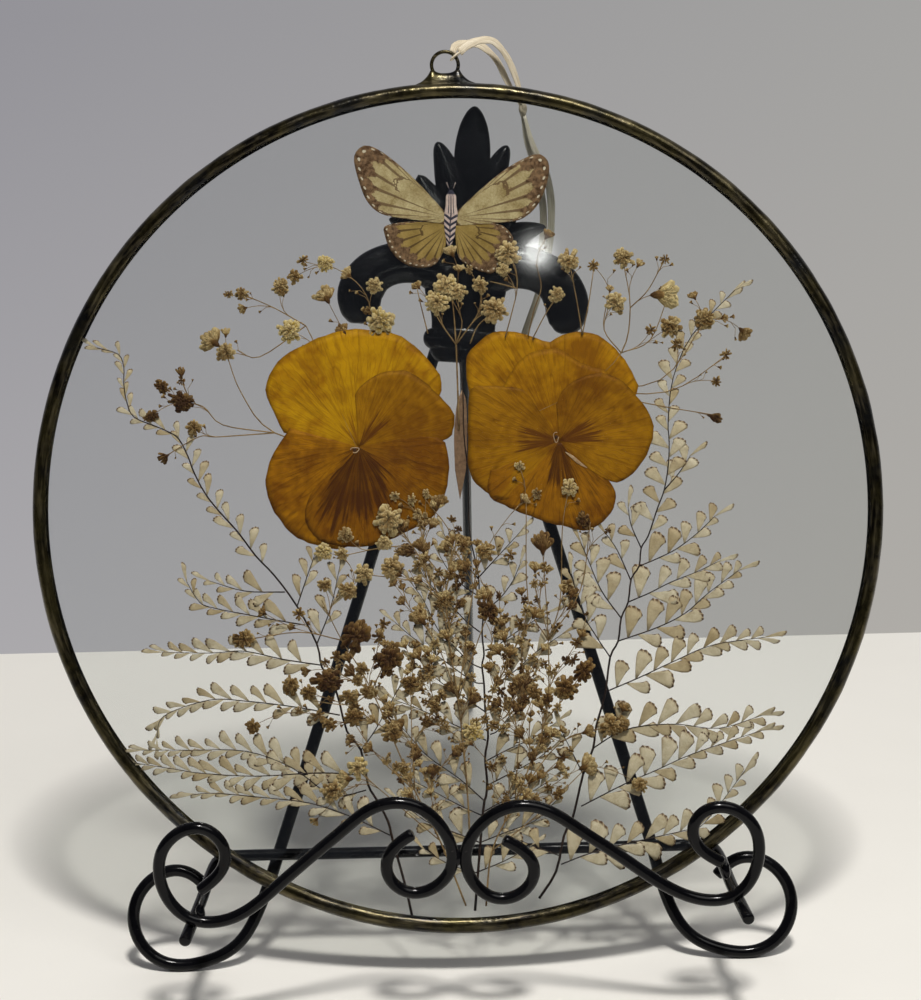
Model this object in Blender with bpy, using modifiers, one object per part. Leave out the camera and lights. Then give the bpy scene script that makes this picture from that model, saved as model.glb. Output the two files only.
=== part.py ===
"""Pressed flower frame: two round glass panes in a soldered rim, leaning on a wrought iron easel.

The disc leans back and faces -Y. X runs to the right as seen from the front, and Z = 0 is the
surface that the easel stands on. Pieces of the disc are built in its own plane (x to the right,
y up along the disc, z towards the viewer) and ride on an empty that carries the lean.
"""

import math

import bmesh
import bpy
from mathutils import Vector

MM = 0.001
PARTS = "pressed_flower_frame"

# Disc, in millimetres
DISC_DIAMETER = 254.0
LEAN = math.radians(17.0)
DISC_CENTRE_HEIGHT = 134.7
DEPTH_SHIFT = -53.0  # puts the middle of the object's depth on y = 0
GLASS_THICKNESS = 1.6
PANE_GAP = 1.8
PANE_RADIUS = 125.2
FIT = 0.3
DISC_STEPS = 60

# Soldered rim, in millimetres
RIM_LIP = 3.6
RIM_WALL = 0.8
RIM_ROUND = 1.0

# Hanging ring, in millimetres
RING_RADIUS = 4.0
RING_WIRE = 1.1
RING_X = -0.8
RING_Y = 132.3
MOUND_HALF_WIDTH = 9.2
MOUND_HEIGHT = 2.6
MOUND_THICKNESS = 3.4

# Easel, in millimetres
LEG_ROD = 3.7
SUPPORT_ROD = 3.5
REAR_ROD = 3.0
LEG_BEHIND = 12.25
FOOT_BEHIND = 9.5
FOOT_RADIUS = 14.4
FOOT_X = 85.0
FOOT_Y = -121.8
BASE_X = -1.5
ARM_HEIGHT = 33.6
CROSSBAR_Y = -22.3
SCROLL_Y = -66.0
REAR_X = 3.0
REAR_REACH = 180.0
REAR_FOOT_HEIGHT = 1.0
REAR_BEND = 5.0
FINIAL_BEHIND = 2.8  # its front, just clear of the back glass
FINIAL_THICKNESS = 7.3
FINIAL_X = 2.1
FINIAL_Y = 43.6
FINIAL_TURN = math.radians(-4.3)

# Ribbon, in millimetres
RIBBON_THICKNESS = 1.4
HITCH_ANGLE = math.radians(39)
HITCH_RADIUS = 1.25
HITCH_THICKNESS = 0.7

# Specimens: layers between the panes, in millimetres from the middle of the disc
FERN_LAYER = (-0.7, -0.45)
PETAL_LAYER = (-0.15, 0.05)
SPRIG_LAYER = (0.35, 0.7)
TWIG_ROOT = 0.45

# The specimens are placed by the pixels of a straight front view of the disc
DISC_PIXELS = 850.0
DISC_CENTRE_PIXEL = (458.0, 508.0)
VIEW_ROLL = math.radians(1.35)
MM_PER_PIXEL = DISC_DIAMETER / DISC_PIXELS

BUTTERFLY_WINGS = (
    ((448, 206), (413, 178), (386, 155), (368, 146), (356, 151), (355, 168), (366, 200), (383, 215), (413, 220), (448, 223)),
    ((448, 226), (413, 223), (386, 226), (385, 236), (391, 251), (403, 263), (419, 269), (436, 264), (449, 248)),
)
BUTTERFLY_RIGHT_WINGS = (
    ((454, 209), (486, 184), (511, 166), (534, 155), (546, 158), (549, 170), (539, 203), (527, 216), (511, 222), (454, 224)),
    ((454, 227), (497, 225), (512, 236), (511, 247), (496, 272), (482, 272), (461, 263), (452, 248)),
)
BUTTERFLY_BODY = ((451, 190), (458, 200), (458, 225), (455, 246), (450, 254), (446, 246), (443, 225), (444, 200))
LEFT_PANSY = (
    (266, 387), (293, 353), (352, 331), (383, 330), (415, 341), (437, 374), (451, 412), (451, 463), (439, 503),
    (415, 527), (372, 546), (312, 542), (277, 514), (266, 480), (272, 450), (283, 430), (270, 409),
)
RIGHT_PANSY = (
    (470, 359), (490, 334), (522, 332), (549, 341), (587, 331), (609, 343), (635, 385), (652, 430), (638, 469), (612, 482),
    (616, 495), (605, 520), (585, 528), (514, 509), (474, 481), (470, 438), (470, 390),
)
BROWNED_PETAL = ((455, 420), (458, 395), (464, 388), (466, 410), (466, 440), (467, 482), (462, 500), (454, 490), (455, 460))

LEFT_FROND = (
    (410, 908), (393, 841), (377, 800), (361, 756), (347, 731), (336, 700), (322, 667), (313, 636), (297, 608),
    (275, 578), (256, 556), (219, 511), (205, 493), (188, 460), (169, 432), (134, 417), (124, 384), (97, 348),
)
LEFT_FROND_PINNAE = (
    (1, 3.2, ((330, 812), (270, 800), (190, 795))),
    (2, 5.0, ((330, 782), (255, 766), (190, 760), (130, 755))),
    (5, 3.2, ((296, 707), (246, 701), (189, 707), (157, 739))),
    (6, 3.2, ((282, 659), (230, 651), (162, 652))),
    (8, 3.2, ((255, 616), (210, 607), (187, 586))),
    (9, 2.4, ((245, 590), (212, 581))),
    (3, 3.2, ((380, 727), (394, 702), (409, 669))),
    (7, 3.2, ((331, 604), (342, 566))),
    (10, 2.4, ((282, 556), (286, 532))),
    (12, 2.4, ((180, 478), (168, 462))),
)
CENTRE_FROND = (
    (476, 908), (482, 850), (484, 811), (487, 775), (487, 738), (485, 700), (484, 660), (482, 625), (478, 578), (470, 530), (462, 500),
)
CENTRE_FROND_PINNAE = (
    (1, 3.2, ((455, 836), (420, 822), (400, 792))),
    (2, 3.2, ((450, 778), (428, 742))),
    (4, 3.2, ((460, 712), (436, 690), (425, 655))),
    (6, 3.2, ((456, 634), (430, 612), (412, 575))),
    (8, 2.4, ((456, 552), (440, 530))),
    (2, 3.2, ((505, 790), (530, 768), (548, 735))),
    (4, 3.2, ((510, 708), (534, 680), (552, 645))),
    (6, 3.2, ((508, 632), (528, 606), (545, 570))),
    (8, 2.4, ((498, 556), (520, 532))),
)
RIGHT_FROND = (
    (541, 898), (556, 868), (566, 832), (573, 810), (583, 778), (594, 745), (605, 702), (611, 660), (619, 634),
    (628, 602), (639, 566), (648, 536), (664, 490), (669, 443), (671, 390), (690, 340), (735, 290),
)
RIGHT_FROND_PINNAE = (
    (1, 3.2, ((540, 850), (520, 840))),
    (4, 2.4, ((570, 752), (562, 732))),
    (7, 3.2, ((594, 634), (583, 613), (571, 578))),
    (9, 3.2, ((610, 575), (598, 536))),
    (11, 2.4, ((632, 512), (628, 496))),
    (1, 3.2, ((600, 852), (660, 838), (704, 823), (744, 775))),
    (3, 3.2, ((624, 784), (680, 762), (740, 748))),
    (5, 3.2, ((625, 728), (677, 720), (757, 713))),
    (6, 3.2, ((640, 677), (712, 645), (765, 637))),
    (8, 3.2, ((660, 622), (708, 593), (739, 572))),
    (10, 3.2, ((676, 549), (715, 518))),
    (12, 2.4, ((684, 474), (688, 458))),
)

# Each sprig: its stem, then its twigs as (stem point, route, head radius in pixels)
SPRIGS = {
    "sprig_upper_left": (
        ((436, 474), (360, 455), (275, 433), (242, 394), (226, 352)),
        11,
        (
            (1, ((332, 390), (306, 326), (289, 331)), 12),
            (1, ((362, 392), (352, 330)), 8),
            (1, ((384, 390), (381, 321)), 14),
            (2, ((200, 412), (183, 402)), 12),
            (2, ((205, 440), (166, 456)), 7),
            (2, ((284, 360), (243, 300)), 9),
        ),
    ),
    "sprig_top": (
        ((459, 430), (456, 345), (452, 300), (446, 286)),
        12,
        (
            (1, ((440, 322), (430, 302)), 6),
            (1, ((426, 330), (417, 286)), 5),
            (1, ((480, 310), (480, 286)), 8),
            (1, ((500, 326), (507, 262)), 14),
            (1, ((525, 342), (555, 298)), 9),
            (1, ((540, 352), (580, 300), (569, 262)), 11),
        ),
    ),
    "sprig_upper_right": (
        ((520, 420), (580, 390), (621, 353), (630, 308), (623, 262)),
        10,
        (
            (2, ((604, 330), (607, 300)), 10),
            (3, ((648, 290), (663, 262)), 5),
            (2, ((650, 340), (668, 296)), 13),
            (1, ((660, 380), (704, 322)), 12),
            (1, ((666, 392), (724, 358)), 7),
            (1, ((660, 406), (714, 415)), 7),
        ),
    ),
    "sprig_lower_left": (
        ((466, 905), (440, 840), (415, 790), (372, 690), (342, 640), (322, 600)),
        8,
        (
            (1, ((400, 806), (358, 770)), 12),
            (2, ((378, 756), (354, 722)), 10),
            (3, ((350, 704), (309, 700)), 9),
            (3, ((345, 676), (322, 664)), 11),
            (4, ((300, 632), (244, 640)), 11),
            (2, ((412, 740), (411, 694)), 10),
            (3, ((386, 655), (380, 622)), 13),
        ),
    ),
    "sprig_middle": (
        ((470, 880), (468, 800), (458, 700), (440, 600), (412, 545), (389, 519)),
        13,
        (
            (2, ((440, 650), (420, 617)), 9),
            (3, ((416, 582), (364, 574)), 11),
            (4, ((380, 548), (342, 556)), 8),
            (3, ((452, 540), (426, 500)), 6),
            (2, ((478, 640), (489, 611)), 11),
            (2, ((470, 610), (480, 552)), 10),
        ),
    ),
    "sprig_lower_right": (
        ((486, 905), (492, 850), (515, 800), (545, 720), (548, 640), (542, 545)),
        11,
        (
            (1, ((540, 812), (588, 765)), 9),
            (2, ((560, 742), (610, 726)), 12),
            (2, ((520, 735), (534, 694)), 8),
            (3, ((570, 690), (583, 670)), 13),
            (4, ((528, 600), (526, 500)), 7),
            (4, ((580, 590), (590, 522)), 8),
            (4, ((560, 600), (562, 530), (568, 490)), 8),
        ),
    ),
}

# Left and right scrolls, in millimetres (x, z) in the scrolls' upright plane
LEFT_SCROLL = (
    (-76, 43), (-70, 48.5), (-68.3, 55.4), (-74.9, 62.6), (-85.1, 57.1), (-86.6, 44.9), (-80.3, 35.1), (-71, 33.4),
    (-61.8, 37.2), (-49.4, 47.9), (-35.7, 59.7), (-24.6, 67.8), (-12.8, 67), (-5, 57.1), (-5, 46.7), (-14.6, 40.6),
    (-22.4, 46.5), (-20.6, 54.5), (-14.9, 59.1),
)
RIGHT_SCROLL = (
    (72.6, 47.9), (65, 54.1), (65.7, 62.3), (73.6, 64.9), (81.6, 58.4), (82.3, 46.8), (76.4, 37.7), (66, 36.9),
    (55.5, 41.8), (43.5, 50.8), (33.4, 58.2), (22.7, 65.4), (12.4, 66.4), (3.2, 60), (-0.2, 50), (4.2, 41), (11, 38.4),
    (18, 42.8), (18.3, 50.6), (10.7, 56.7),
)

# Right half of the finial, in millimetres from its foot, as smooth strokes between sharp corners
FINIAL_STROKES = (
    ((0, 77.3), (3.2, 74), (5.2, 66.5), (5.2, 62.5)),
    ((5.2, 62.5), (8, 65.3), (11.4, 65.6), (11.2, 61.5), (8.9, 54)),
    ((8.9, 54), (12, 55.8), (16.4, 55.4), (14.6, 50.5), (11.5, 46)),
    ((11.5, 46), (17.5, 45.6), (23.4, 42), (19.5, 38.4), (14.6, 37.6)),
    ((14.6, 37.6), (19, 35.6), (27, 35), (34, 31), (37.6, 23), (36, 14.5), (29.5, 10.2), (24.3, 14), (23.6, 19.5), (17, 23.4), (12.2, 19.6)),
    ((12.2, 19.6), (9.6, 14), (9.4, 9.6)),
    ((9.4, 9.6), (11.6, 8.2), (11.2, 5.2), (9, 1.5), (7.5, 0)),
)

# Ribbon routes, in millimetres (x, y, z) from the disc's own centre line, y measured to the back
RIBBON_OVER = {
    "ribbon_front_strand": (
        (3.6, 40.4, 264.6), (5.6, 41.6, 266.2), (9.4, 43.6, 267.6), (14, 46.2, 267), (18, 48.4, 262), (20.8, 49.2, 255),
        (23.2, 49.2, 247.9),
    ),
    "ribbon_back_strand": (
        (1.7, 40.9, 264.6), (2.4, 43.0, 266.2), (5.6, 46.2, 266.6), (10.2, 48.4, 265.6), (14.8, 50.4, 261), (18.2, 51.2, 254),
        (21.6, 51.2, 247.7),
    ),
}
RIBBON_TAILS = {
    "ribbon_front_tail": (
        (23.6, 49.2, 243.3), (25.6, 48.6, 235), (29.4, 48, 226), (30.8, 47.6, 216), (30, 47.3, 204), (26.8, 47.1, 190), (21.8, 47, 176),
    ),
    "ribbon_back_tail": (
        (22.2, 51.2, 243.1), (23.4, 51, 235), (26.8, 50.4, 226), (28.4, 50, 215), (27.8, 49.6, 203), (25.4, 49.4, 192),
    ),
}
KNOT_CENTRE = (22.6, 50.2, 245.4)
KNOT_WIDTH = 4.2


def at(pixel):
    """Pixel of the straight front view to (x, y) in the disc's plane, in millimetres."""
    dx = pixel[0] - DISC_CENTRE_PIXEL[0]
    dy = pixel[1] - DISC_CENTRE_PIXEL[1]
    x = dx * math.cos(VIEW_ROLL) - dy * math.sin(VIEW_ROLL)
    y = -dx * math.sin(VIEW_ROLL) - dy * math.cos(VIEW_ROLL)
    return Vector((x, y)) * MM_PER_PIXEL


def world(x, y, behind):
    """Point of the leaning disc, in millimetres, to world millimetres."""
    return Vector((
        x,
        DEPTH_SHIFT + behind * math.cos(LEAN) + y * math.sin(LEAN),
        DISC_CENTRE_HEIGHT + y * math.cos(LEAN) - behind * math.sin(LEAN),
    ))


def smooth(points, steps):
    """Points of a smooth curve through the given ones, with this many steps between two of them."""
    knots = [Vector(p) for p in points]
    knots = [knots[0] * 2 - knots[1], *knots, knots[-1] * 2 - knots[-2]]
    curve = []
    for a, b, c, d in zip(knots, knots[1:], knots[2:], knots[3:]):
        for step in range(steps):
            t = step / steps
            curve.append(
                0.5 * (2 * b + (c - a) * t + (2 * a - 5 * b + 4 * c - d) * t**2 + (3 * b - a - 3 * c + d) * t**3)
            )
    curve.append(knots[-2])
    return curve


def paint(name, colour, roughness, metallic=0.0, transmission=0.0):
    """A surface finish, made once and shared by the pieces that wear it."""
    material = bpy.data.materials.get(name)
    if material:
        return material
    material = bpy.data.materials.new(name)
    material.use_nodes = True
    shader = material.node_tree.nodes["Principled BSDF"]
    shader.inputs["Base Color"].default_value = (*colour, 1.0)
    shader.inputs["Roughness"].default_value = roughness
    shader.inputs["Metallic"].default_value = metallic
    shader.inputs["Transmission Weight"].default_value = transmission
    return material


def collection(name, hidden=False):
    group = bpy.data.collections.new(name)
    group.hide_render = hidden
    bpy.context.scene.collection.children.link(group)
    return group


def add(name, data, group, material, parent=None):
    piece = bpy.data.objects.new(name, data)
    data.materials.append(material)
    group.objects.link(piece)
    piece.parent = parent
    return piece


def rod(name, points, diameter, group, material, sides=2):
    """A round rod through these world points, in millimetres, with closed ends."""
    curve = bpy.data.curves.new(name, "CURVE")
    curve.dimensions = "3D"
    curve.bevel_depth = diameter / 2 * MM
    curve.bevel_resolution = sides
    curve.use_fill_caps = True
    spline = curve.splines.new("POLY")
    spline.points.add(len(points) - 1)
    for knot, point in zip(spline.points, points):
        knot.co = (*(Vector(point) * MM), 1.0)
    spline.use_smooth = True
    return add(name, curve, group, material)


def plate(name, outline, layer, group, material, parent):
    """A flat piece in the disc's plane: an outline in millimetres between two heights."""
    curve = bpy.data.curves.new(name, "CURVE")
    curve.dimensions = "2D"
    curve.fill_mode = "BOTH"
    curve.extrude = (layer[1] - layer[0]) / 2 * MM
    spline = curve.splines.new("POLY")
    spline.points.add(len(outline) - 1)
    for knot, point in zip(spline.points, outline):
        knot.co = (point[0] * MM, point[1] * MM, 0.0, 1.0)
    spline.use_cyclic_u = True
    piece = add(name, curve, group, material, parent)
    piece.location.z = (layer[0] + layer[1]) / 2 * MM
    return piece


def as_mesh(piece):
    """The same piece as a closed mesh object, for a Boolean."""
    name = piece.name
    bpy.context.view_layer.update()
    evaluated = piece.evaluated_get(bpy.context.evaluated_depsgraph_get())
    mesh = bpy.data.meshes.new_from_object(evaluated)
    shape = bmesh.new()
    shape.from_mesh(mesh)
    bmesh.ops.remove_doubles(shape, verts=shape.verts, dist=0.001 * MM)
    bmesh.ops.recalc_face_normals(shape, faces=shape.faces)
    shape.to_mesh(mesh)
    shape.free()
    solid = bpy.data.objects.new(name, mesh)
    for group in piece.users_collection:
        group.objects.link(solid)
    solid.matrix_world = piece.matrix_world
    bpy.data.objects.remove(piece)
    solid.name = name
    return solid


def join(piece, others, helpers):
    """Boolean union of a mesh piece with others, which become hidden helpers."""
    for other in others:
        for group in list(other.users_collection):
            group.objects.unlink(other)
        helpers.objects.link(other)
        other.hide_render = True
        other.display_type = "WIRE"
        union = piece.modifiers.new("join_" + other.name, "BOOLEAN")
        union.operation = "UNION"
        union.object = other


# Disc


def pane(name, middle, group, parent):
    shape = bmesh.new()
    bmesh.ops.create_cone(
        shape,
        cap_ends=True,
        segments=DISC_STEPS,
        radius1=PANE_RADIUS * MM,
        radius2=PANE_RADIUS * MM,
        depth=GLASS_THICKNESS * MM,
    )
    mesh = bpy.data.meshes.new(name)
    shape.to_mesh(mesh)
    shape.free()
    piece = add(name, mesh, group, paint("clear_glass", (0.95, 0.97, 0.97), 0.02, 0.0, 1.0), parent)
    piece.location.z = middle * MM


def solder_rim(group, parent):
    """A turned channel that wraps the edge of both panes."""
    outer = DISC_DIAMETER / 2
    inner = outer - RIM_LIP
    web = PANE_RADIUS + FIT
    seat = PANE_GAP / 2 + GLASS_THICKNESS + FIT
    top = seat + RIM_WALL
    profile = (
        (inner, seat),
        (inner + RIM_ROUND / 2, top),
        (outer - RIM_ROUND, top - 0.2),
        (outer, seat - RIM_ROUND),
        (outer, RIM_ROUND - seat),
        (outer - RIM_ROUND, 0.2 - top),
        (inner + RIM_ROUND / 2, -top),
        (inner, -seat),
        (web, -seat),
        (web, seat),
    )
    shape = bmesh.new()
    ring = [shape.verts.new((r * MM, 0, z * MM)) for r, z in profile]
    for start, end in zip(ring, ring[1:] + ring[:1]):
        shape.edges.new((start, end))
    mesh = bpy.data.meshes.new("solder_rim")
    shape.to_mesh(mesh)
    shape.free()
    piece = add("solder_rim", mesh, group, paint("patina_solder", (0.12, 0.11, 0.09), 0.45, 0.9), parent)
    turn = piece.modifiers.new("turn", "SCREW")
    turn.axis = "Z"
    turn.angle = math.tau
    turn.steps = DISC_STEPS
    turn.render_steps = DISC_STEPS
    turn.use_merge_vertices = True
    turn.merge_threshold = 0.00001
    turn.use_smooth_shade = True


def hanging_ring(group, helpers, parent):
    """A wire ring whose foot sinks in a hollow-sided mound of solder."""
    solder = paint("patina_solder", (0.12, 0.11, 0.09), 0.45, 0.9)
    foot_radius = DISC_DIAMETER / 2 + FIT
    outline = []
    for step in range(9):
        x = MOUND_HALF_WIDTH * (step / 4 - 1)
        outline.append((RING_X + x, math.sqrt(foot_radius**2 - (RING_X + x) ** 2)))
    for step in range(1, 10):
        x = MOUND_HALF_WIDTH * (1 - step / 5)
        lift = MOUND_HEIGHT * (1 - abs(x) / MOUND_HALF_WIDTH) ** 1.8
        outline.append((RING_X + x, math.sqrt(foot_radius**2 - (RING_X + x) ** 2) + 0.35 + lift))
    half = MOUND_THICKNESS / 2
    mound = as_mesh(plate("solder_mound", outline, (-half, half), group, solder, parent))
    circle = [
        world(
            RING_X + RING_RADIUS * math.cos(math.tau * step / 20),
            RING_Y + RING_RADIUS * math.sin(math.tau * step / 20),
            0,
        )
        for step in range(20)
    ]
    loop = rod("hanging_ring", circle, RING_WIRE, group, solder)
    loop.data.splines[0].use_cyclic_u = True
    join(as_mesh(loop), [mound], helpers)


# Easel


def leg(name, side, group, iron):
    """One leg with its foot: down the leaning frame, then once round into an open ring."""
    centre = (side * FOOT_X + BASE_X, FOOT_Y)
    route = [
        (side * 8.2 + 3.2, 50.0, LEG_BEHIND),
        (side * 40.3 + 1.0, -52.0, LEG_BEHIND),
        (side * 55.8 - 0.2, -101.0, LEG_BEHIND),
        (side * 60.4 - 1.0, -116.0, 10.6),
        (side * 66.0 - 1.4, -127.6, 9.8),
        (side * 72.4 - 1.4, -133.0, FOOT_BEHIND),
    ]
    for angle, radius in ((-108, 1.0), (-84, 1.0), (-60, 1.0), (-36, 1.0), (-12, 1.0), (12, 1.0), (36, 1.0), (60, 1.0), (84, 0.99), (108, 0.94), (132, 0.84), (150, 0.74)):
        turned = math.radians(angle)
        route.append((
            centre[0] + side * FOOT_RADIUS * radius * math.cos(turned),
            centre[1] + FOOT_RADIUS * radius * math.sin(turned),
            FOOT_BEHIND,
        ))
    rod(name, [world(*p) for p in smooth(route, 2)], LEG_ROD, group, iron)


def support_rod(group, iron):
    """Crossbar and two arms in one bent rod; the disc rests on the arms."""
    route = (
        (-80.4, -72.0, ARM_HEIGHT - 3.5),
        (-77.6, -50.0, ARM_HEIGHT - 1.6),
        (-75.6, -31.0, ARM_HEIGHT),
        (-73.6, -24.2, ARM_HEIGHT),
        (-69.0, CROSSBAR_Y, ARM_HEIGHT),
        (-35.0, CROSSBAR_Y, ARM_HEIGHT),
        (0.0, CROSSBAR_Y, ARM_HEIGHT),
        (35.0, CROSSBAR_Y, ARM_HEIGHT),
        (69.0, CROSSBAR_Y, ARM_HEIGHT),
        (73.6, -24.2, ARM_HEIGHT),
        (75.6, -31.0, ARM_HEIGHT),
        (77.0, -52.0, ARM_HEIGHT + 0.3),
        (79.2, -75.0, ARM_HEIGHT + 0.8),
    )
    points = [Vector((x, y + DEPTH_SHIFT, z)) for x, y, z in smooth(route, 2)]
    rod("support_rod", points, SUPPORT_ROD, group, iron)


def scroll(name, route, group, iron):
    points = [Vector((p.x, SCROLL_Y + DEPTH_SHIFT, p.y)) for p in smooth(route, 2)]
    rod(name, points, SUPPORT_ROD, group, iron)


def rear_leg(group, iron):
    """The prop: it runs along the finial's back, bends, and slopes to the surface behind."""
    behind = FINIAL_BEHIND + FINIAL_THICKNESS + FIT + REAR_ROD / 2
    top = world(REAR_X, 56.0, behind)
    bend = world(REAR_X, 46.0, behind)
    foot = Vector((REAR_X, DEPTH_SHIFT + REAR_REACH, REAR_FOOT_HEIGHT))
    above = bend + (top - bend).normalized() * REAR_BEND
    below = bend + (foot - bend).normalized() * REAR_BEND
    turn = [above.lerp(bend, t).lerp(bend.lerp(below, t), t) for t in (0, 0.25, 0.5, 0.75, 1)]
    rod("rear_leg", [top, *turn, foot], REAR_ROD, group, iron)


def finial(group, iron, parent):
    """The cast fleur-de-lis: a half outline of smooth strokes, mirrored, a little askew on the frame."""
    half = []
    for stroke in FINIAL_STROKES:
        half.extend(smooth(stroke, 2)[:-1])
    half.append(Vector(FINIAL_STROKES[-1][-1]))
    outline = half + [Vector((-p.x, p.y)) for p in reversed(half[1:])]
    layer = (-FINIAL_BEHIND - FINIAL_THICKNESS, -FINIAL_BEHIND)
    piece = plate("finial", outline, layer, group, iron, parent)
    piece.location.x = FINIAL_X * MM
    piece.location.y = FINIAL_Y * MM
    piece.rotation_euler.z = FINIAL_TURN


# Ribbon


def hitch(name, group, raffia):
    """One turn of the raffia round the ring's wire, at the ring's right shoulder."""
    circle = []
    for step in range(12):
        turn = math.tau * step / 12
        out = RING_RADIUS + HITCH_RADIUS * math.cos(turn)
        circle.append(
            world(
                RING_X + out * math.cos(HITCH_ANGLE),
                RING_Y + out * math.sin(HITCH_ANGLE),
                HITCH_RADIUS * math.sin(turn),
            )
        )
    loop = rod(name, circle, HITCH_THICKNESS, group, raffia)
    loop.data.splines[0].use_cyclic_u = True


def knot(name, centre, width, group, raffia):
    shape = bmesh.new()
    bmesh.ops.create_icosphere(shape, subdivisions=2, radius=width / 2 * MM)
    mesh = bpy.data.meshes.new(name)
    shape.to_mesh(mesh)
    shape.free()
    piece = add(name, mesh, group, raffia)
    piece.location = centre * MM


def ribbon(group, raffia):
    """A raffia strip hitched to the ring: two strands over the rim, a knot, and two tails hanging behind the disc."""
    shift = Vector((0, DEPTH_SHIFT, 0))
    hitch("ribbon_hitch", group, raffia)
    knot("ribbon_knot", Vector(KNOT_CENTRE) + shift, KNOT_WIDTH, group, raffia)
    for name, route in (RIBBON_OVER | RIBBON_TAILS).items():
        rod(name, [point + shift for point in smooth(route, 3)], RIBBON_THICKNESS, group, raffia)


# Specimens


def branch_outline(route, half_widths, tip_radius, twigs=()):
    """Outline of a flat branch: up its left side, round its tip and down its right, twigs included."""
    left = []
    right = []
    for i, point in enumerate(route[1:-1], start=1):
        along = (route[i + 1] - route[i - 1]).normalized()
        out = Vector((-along.y, along.x))
        for bank, side in ((left, 1), (right, -1)):
            edge = point + out * side * half_widths[i]
            held = [twig for twig in twigs if twig["index"] == i and twig["side"] == side]
            if not held:
                bank.append(edge)
                continue
            bank.append(edge - along * TWIG_ROOT)
            for twig in sorted(held, key=lambda twig: twig["ahead"]):
                bank.extend(twig["outline"][::side])
            bank.append(edge + along * TWIG_ROOT)
    along = (route[-1] - route[-2]).normalized()
    tip = [route[-1]]
    if tip_radius:
        start = math.atan2(along.y, along.x)
        turns = [start + math.radians(150 - 50 * step) for step in range(7)]
        tip = [route[-1] + Vector((math.cos(turn), math.sin(turn))) * tip_radius for turn in turns]
    return left + tip + right[::-1]


def twig_of(stem, index, pixels, half_width, tip_radius):
    """A twig that leaves a stem at one of its points, with the side it is on."""
    route = [stem[index], *[at(p) for p in pixels]]
    count = len(route)
    widths = [half_width * math.sin(math.pi * (0.16 + 0.6 * i / count)) for i in range(count)]
    along = (stem[index + 1] - stem[index - 1]).normalized()
    away = (route[1] - route[0]).normalized()
    return {
        "index": index,
        "side": 1 if along.x * away.y - along.y * away.x > 0 else -1,
        "ahead": along.dot(away),
        "outline": branch_outline(route, widths, tip_radius),
    }


def branching_plate(name, stem, root_width, tip_width, tip_radius, twigs, layer, group, material, parent):
    """A stem with its twigs as one flat piece, cut off square at its foot."""
    widths = [root_width + (tip_width - root_width) * i / len(stem) for i in range(len(stem))]
    outline = branch_outline(stem, widths, tip_radius, twigs)
    foot = Vector((root_width, 0))
    plate(name, [stem[0] - foot, *outline, stem[0] + foot], layer, group, material, parent)


def frond(name, stem_pixels, pinnae, group, material, parent):
    """A fern frond: a thin stem with one narrow blade for each pinna, as wide as its leaflets."""
    stem = [at(p) for p in stem_pixels]
    twigs = [twig_of(stem, index, route, half_width, 0) for index, half_width, route in pinnae]
    branching_plate(name, stem, 0.5, 1.4, 0, twigs, FERN_LAYER, group, material, parent)


def sprig(name, stem_pixels, head, twigs_in, group, material, parent):
    """A baby's breath sprig: thin stems, each ending in a small flower head."""
    stem = [at(p) for p in stem_pixels]
    twigs = [twig_of(stem, index, route, 0.35, radius * MM_PER_PIXEL) for index, route, radius in twigs_in]
    radius = head * MM_PER_PIXEL
    branching_plate(name, stem, 0.4, 0.35, radius, twigs, SPRIG_LAYER, group, material, parent)


def butterfly(group, helpers, parent):
    """Wings and body of one specimen, joined into one flat piece."""
    wing = paint("butterfly_wing", (0.55, 0.46, 0.25), 0.6)
    body = as_mesh(plate("butterfly", [at(p) for p in BUTTERFLY_BODY], (-0.16, 0.06), group, wing, parent))
    wings = [
        as_mesh(plate(f"wing_{i}", [at(p) for p in outline], PETAL_LAYER, group, wing, parent))
        for i, outline in enumerate(BUTTERFLY_WINGS + BUTTERFLY_RIGHT_WINGS)
    ]
    join(body, wings, helpers)


def petals(name, outline, group, material, parent):
    plate(name, [at(p) for p in outline], PETAL_LAYER, group, material, parent)


def clear_scene():
    for piece in list(bpy.data.objects):
        bpy.data.objects.remove(piece)


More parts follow.
